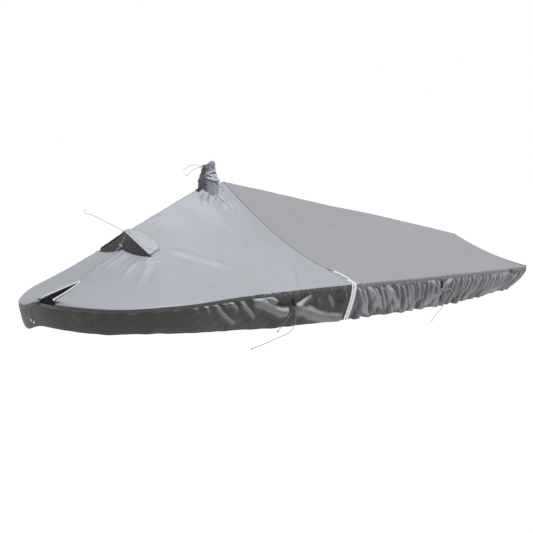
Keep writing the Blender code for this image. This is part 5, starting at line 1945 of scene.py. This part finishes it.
@dataclass
class Collar:
    """The gathered sleeve at the peak, with its crossing wraps, and the tab at its fore foot."""

    finishes: Finishes
    rows: int = 300
    foot: float = 0.068
    top_height: float = 0.779
    tab_height: float = 0.028
    tab_turn: float = 1.70
    levels: tuple = (0.692, 0.714, 0.742, 0.762, 0.772)
    radii: tuple = (0.0580, 0.0490, 0.0415, 0.0392, 0.0394)
    foot_height: float = 0.690
    foot_from: float = 0.80
    flare_from: float = 0.66
    off_panel: float = 0.0042
    tie_height: float = 0.767
    pleat: float = 0.0030
    fine_pleat: float = 0.0008
    pleats_from: float = 0.70
    # Each wrap: how far it slopes, its middle height, and how high and wide it stands.
    wraps: tuple = ((0.034, 0.706, 0.0046, 0.0060), (-0.030, 0.738, 0.0044, 0.0055),
                    (0.040, 0.733, 0.0040, 0.0050), (-0.036, 0.716, 0.0042, 0.0060),
                    (-0.020, 0.700, 0.0036, 0.0055))
    crumple: Ripple = Ripple(0.0026, 0.022)
    drawn_in: float = 0.0022
    cut: Pair = (0.16, 0.42)
    thickness: float = 0.0012
    gathered_share: float = 0.8
    patch_side: float = 0.017
    patch_stations: Pair = (1.137, 1.178)
    patch_cut: Pair = (0.036, 0.048)
    patch_used: float = 0.046
    patch_thickness: float = 0.0018
    patch_off: float = 0.0030

    def folds(self, turn: Array, height: Array) -> Array:
        """Fold the sleeve by its pleats, its crossing wraps and small crumples.

        Args:
            turn: where round the collar the points are, in radians.
            height: how high they are.

        Returns:
            How far the folds stand out, without those that the tie draws in.
        """
        up = height - self.pleats_from
        pleat = np.abs(np.sin(7.5 * turn + 1.1 * np.sin(2 * turn) + 14 * up))
        fine = np.sin(31 * turn + 2.0 * np.sin(3 * turn) - 25 * up)
        lift = (self.pleat * pleat + self.fine_pleat * fine) * (0.6 + 0.4 * ramp(0.78 - height, 0.0, 0.05))
        for slope, start, size, wide in self.wraps:
            line = start + slope * np.sin(turn + 1.3 * start * 10)
            lift = lift + size * bell(height - line, wide)
        return lift + self.crumple.lift(turn * 0.045, height, 71)

    def grid(self) -> Array:
        """Upright rows round the collar, from its top down to its foot.

        Returns:
            The grid of points.
        """
        turn = (2 * np.pi * np.arange(self.rows) / self.rows)[:, None]
        ahead, side = np.cos(turn), np.sin(turn)
        foot = FORM.top(FORM.collar_station + self.foot * ahead, self.foot * side)[..., 2] + self.off_panel
        lobe = np.maximum(0.0, np.cos(turn + self.tab_turn)) ** 2.5
        top = self.top_height + self.tab_height * lobe + 0.002 * np.sin(5 * turn)
        share = np.linspace(0, 1, 96)[None, :]
        height = top + (self.foot_height - top) * np.minimum(share / self.foot_from, 1.0)
        radius = smooth(self.levels, self.radii, height) + np.maximum(height - self.levels[-1], 0) * 0.10
        flare = ramp(share, self.flare_from, 1.0)
        radius = radius * (1 - flare) + self.foot * flare
        at_foot = ramp(share, self.foot_from, 1.0)
        height = height * (1 - at_foot) + foot * at_foot
        loose = 1 - bell(height - self.tie_height, 0.006)
        lift = self.folds(turn, height) * loose * (1 - at_foot) * ramp(share, 0.0, 0.10)
        radius = radius + lift - self.drawn_in * loose
        return np.stack([FORM.collar_station + radius * ahead, radius * side, height], axis=-1)

    def build(self) -> None:
        """Build the sleeve and its tab."""
        mesh = grid_mesh("collar_sheet", self.grid(), closed=True)
        piece = add_object("collar_cloth_sleeve", mesh, self.finishes.collar, "panel_cloth", ["collar"])
        thicken(piece, self.thickness)
        side, station = np.meshgrid(np.linspace(-self.patch_side, self.patch_side, 25),
                                    np.linspace(*self.patch_stations, 31), indexing="ij")
        patch = FORM.top(station, side)
        ribs = 0.00027 * np.cos(station * 900)
        hems = 0.0010 * bell(np.abs(side) - 0.013, 0.002)
        patch[..., 2] += self.patch_off + ribs + hems
        tab = add_object("collar_tab_band", grid_mesh("collar_tab_sheet", patch), self.finishes.webbing,
                         "black_webbing", ["collar_tab"])
        thicken(tab, self.patch_thickness)


@dataclass
class VentHood:
    """The wrinkled patch over the vent's mouth."""

    finishes: Finishes
    across: tuple = (0.0, 0.30, 0.57, 0.79, 0.94, 1.0)
    reach: tuple = (0.036, 0.079, 0.098, 0.109, 0.084, 0.010)
    lift: float = 0.0044
    side_margin: float = 0.008
    over_mouth: float = 0.006
    mouth_hem: float = 0.0022
    far_hem: float = 0.0012
    broad_wrinkles: Ripple = Ripple(0.0044, 0.055)
    small_wrinkles: Ripple = Ripple(0.0020, 0.024)
    cut: Pair = (0.125, 0.62)
    thickness: float = 0.0016

    def grid(self) -> Array:
        """Rows of points up the hood, from port to starboard.

        Returns:
            The grid of points.
        """
        across = np.linspace(-1, 1, 181)[:, None]
        share = np.linspace(0, 1, 46)[None, :]
        side = across * (FORM.vent_half - self.side_margin)
        reach = np.interp(np.abs(across), self.across, self.reach) + self.over_mouth
        station = FORM.vent_station + FORM.mouth_shift(side) - self.over_mouth + reach * share
        grid = FORM.top(station, side)
        hem = (self.mouth_hem * bell(reach * share - 0.004, 0.0035)
               + self.far_hem * bell(reach * (1 - share) - 0.003, 0.003))
        wrinkles = (np.abs(self.broad_wrinkles.lift(station, side, 51))
                    + np.abs(self.small_wrinkles.lift(station, side, 52)))
        crown = 0.004 * np.sin(np.pi * share) + 0.003 * (1 - share)
        inside = ramp(share, 0.04, 0.25) * ramp(1 - share, 0.0, 0.15) * ramp(1 - np.abs(across), 0.0, 0.10)
        grid[..., 2] += self.lift + crown + hem + wrinkles * inside
        return grid

    def build(self) -> None:
        """Build the hood."""
        grid = self.grid()
        mesh = grid_mesh("vent_hood_sheet", grid)
        piece = add_object("vent_hood_patch", mesh, self.finishes.hood, "hood_cloth", ["vent_hood"])
        thicken(piece, self.thickness)


@dataclass
class Bindings:
    """White tape along the side slots and along the bow slot."""

    finishes: Finishes
    width: float = 0.014
    slot_widths: Pair = (0.011, 0.024)
    overlap: float = 0.001
    thickness: float = 0.0013
    off: float = 0.0030
    nose_off: float = 0.0012
    slot_crowns: Pair = (0.0012, 0.0032)
    nose_crown: float = 0.0010
    pucker: float = 0.0008
    crinkle: Ripple = Ripple(0.0022, 0.016)
    lines: int = 7

    def crown(self, height: float) -> Array:
        """How far the tape's middle stands above its edges, on each of its lines."""
        return height * (1 - np.linspace(-1, 1, self.lines) ** 2)

    def slot_line(self, way: int, shift: float) -> Array:
        """Run a line down one side of the port side slot.

        Args:
            way: -1 for the fore side, 1 for the aft one.
            shift: how far aft of the slot's edge the line lies.

        Returns:
            The line's points.
        """
        station = np.array(FORM.slot_station + way * FORM.slot_half_width + shift)
        out = FORM.seam_side(np.linspace(0.84, 1.0, 22))
        above = FORM.seam_at(out) + way * FORM.slot_half(out) + shift
        top = FORM.top(above, -out)
        lip = FORM.lip(station[None], np.linspace(0, 1, 10)[1:])[0]
        depth = np.interp(station, FORM.skirt_station, FORM.skirt_depth)
        drop = FORM.lip_drop + (depth - FORM.lip_drop) * np.linspace(0.03, 0.97, 34)
        outs = FORM.skirt_out(np.full(drop.shape, float(station)), drop)
        skirt = FORM.edge_point(station)[None] + FORM.edge_outward(station)[None] * outs[:, None]
        skirt[:, 2] -= drop
        return np.concatenate([top, lip, skirt])

    def slot_grid(self, way: int) -> Array:
        """Lay the tape on one side of the port side slot, each of its lines a row.

        Args:
            way: -1 for the fore side, 1 for the aft one.

        Returns:
            The grid of points.
        """
        ends = (-self.slot_widths[0], self.overlap) if way < 0 else (-self.overlap, self.slot_widths[1])
        grid = np.stack([self.slot_line(way, shift) for shift in np.linspace(*ends, self.lines)])
        down = np.linspace(0, 1, grid.shape[1])[None, :]
        crown = self.crown(self.slot_crowns[way > 0])[:, None]
        puckers = self.pucker * np.sin(down * 70 + 2 * np.sin(down * 9 + way))
        return grid + grid_normals(grid) * (self.off + crown + puckers)[..., None]

    def nose_grid(self) -> Array:
        """Lay the tape along the port side of the bow slot, each of its lines a column.

        Returns:
            The grid of points.
        """
        station = np.linspace(0.004, FORM.nose_slot_length, 70)
        edge = np.interp(station, FORM.fan_ridge, FORM.fan_edge)
        inner = np.stack([station, -np.maximum(FORM.gap / 2, FORM.nose_half(station))], axis=-1)
        outer = np.stack([edge, -FORM.half_width(edge)], axis=-1)
        reach = np.linalg.norm(outer - inner, axis=1, keepdims=True)
        widths = np.linspace(0.07, 1.0, self.lines) * self.width
        plan = inner[:, None] + (outer - inner)[:, None] * (widths[None, :] / reach)[..., None]
        grid = FORM.top(plan[..., 0], plan[..., 1], True)
        crinkle = np.abs(self.crinkle.lift(plan[..., 0], plan[..., 1], 61)) * bell(plan[..., 0], 0.07)
        off = self.off + self.nose_off + self.crown(self.nose_crown)[None, :] + crinkle
        return grid + grid_normals(grid) * off[..., None]

    def build(self) -> None:
        """Build the six tapes."""
        fore, aft, nose, middle = self.slot_grid(-1), self.slot_grid(1), self.nose_grid(), self.lines // 2
        for name, grid, line, width in (
                ("slot_binding_fore", fore, fore[middle], self.slot_widths[0]),
                ("slot_binding_aft", aft, aft[middle], self.slot_widths[1]),
                ("nose_binding", nose, nose[:, middle], self.width)):
            for hand in Hand:
                node = name + "_" + hand.value
                placed = grid if hand is Hand.PORT else starboard_of(grid)
                piece = add_object(node + "_tape", grid_mesh(node + "_sheet", placed), self.finishes.binding,
                                   "white_binding", [node])
                thicken(piece, self.thickness)


def main() -> None:
    """Build the cover's looks in order."""
    logging.basicConfig(level=logging.INFO, format="%(message)s")
    finishes = Finishes()
    studio = Studio()
    studio.place_camera()
    for part in (Ties(finishes), Fittings(finishes), Panels(finishes), Skirts(finishes), Stern(finishes),
                 Collar(finishes), VentHood(finishes), Bindings(finishes)):
        part.build()
        log.info("%s built", type(part).__name__)
    studio.light()
    studio.lay_floor()
    bpy.context.scene.view_settings.view_transform = "Standard"


if __name__ == "__main__":
    main()
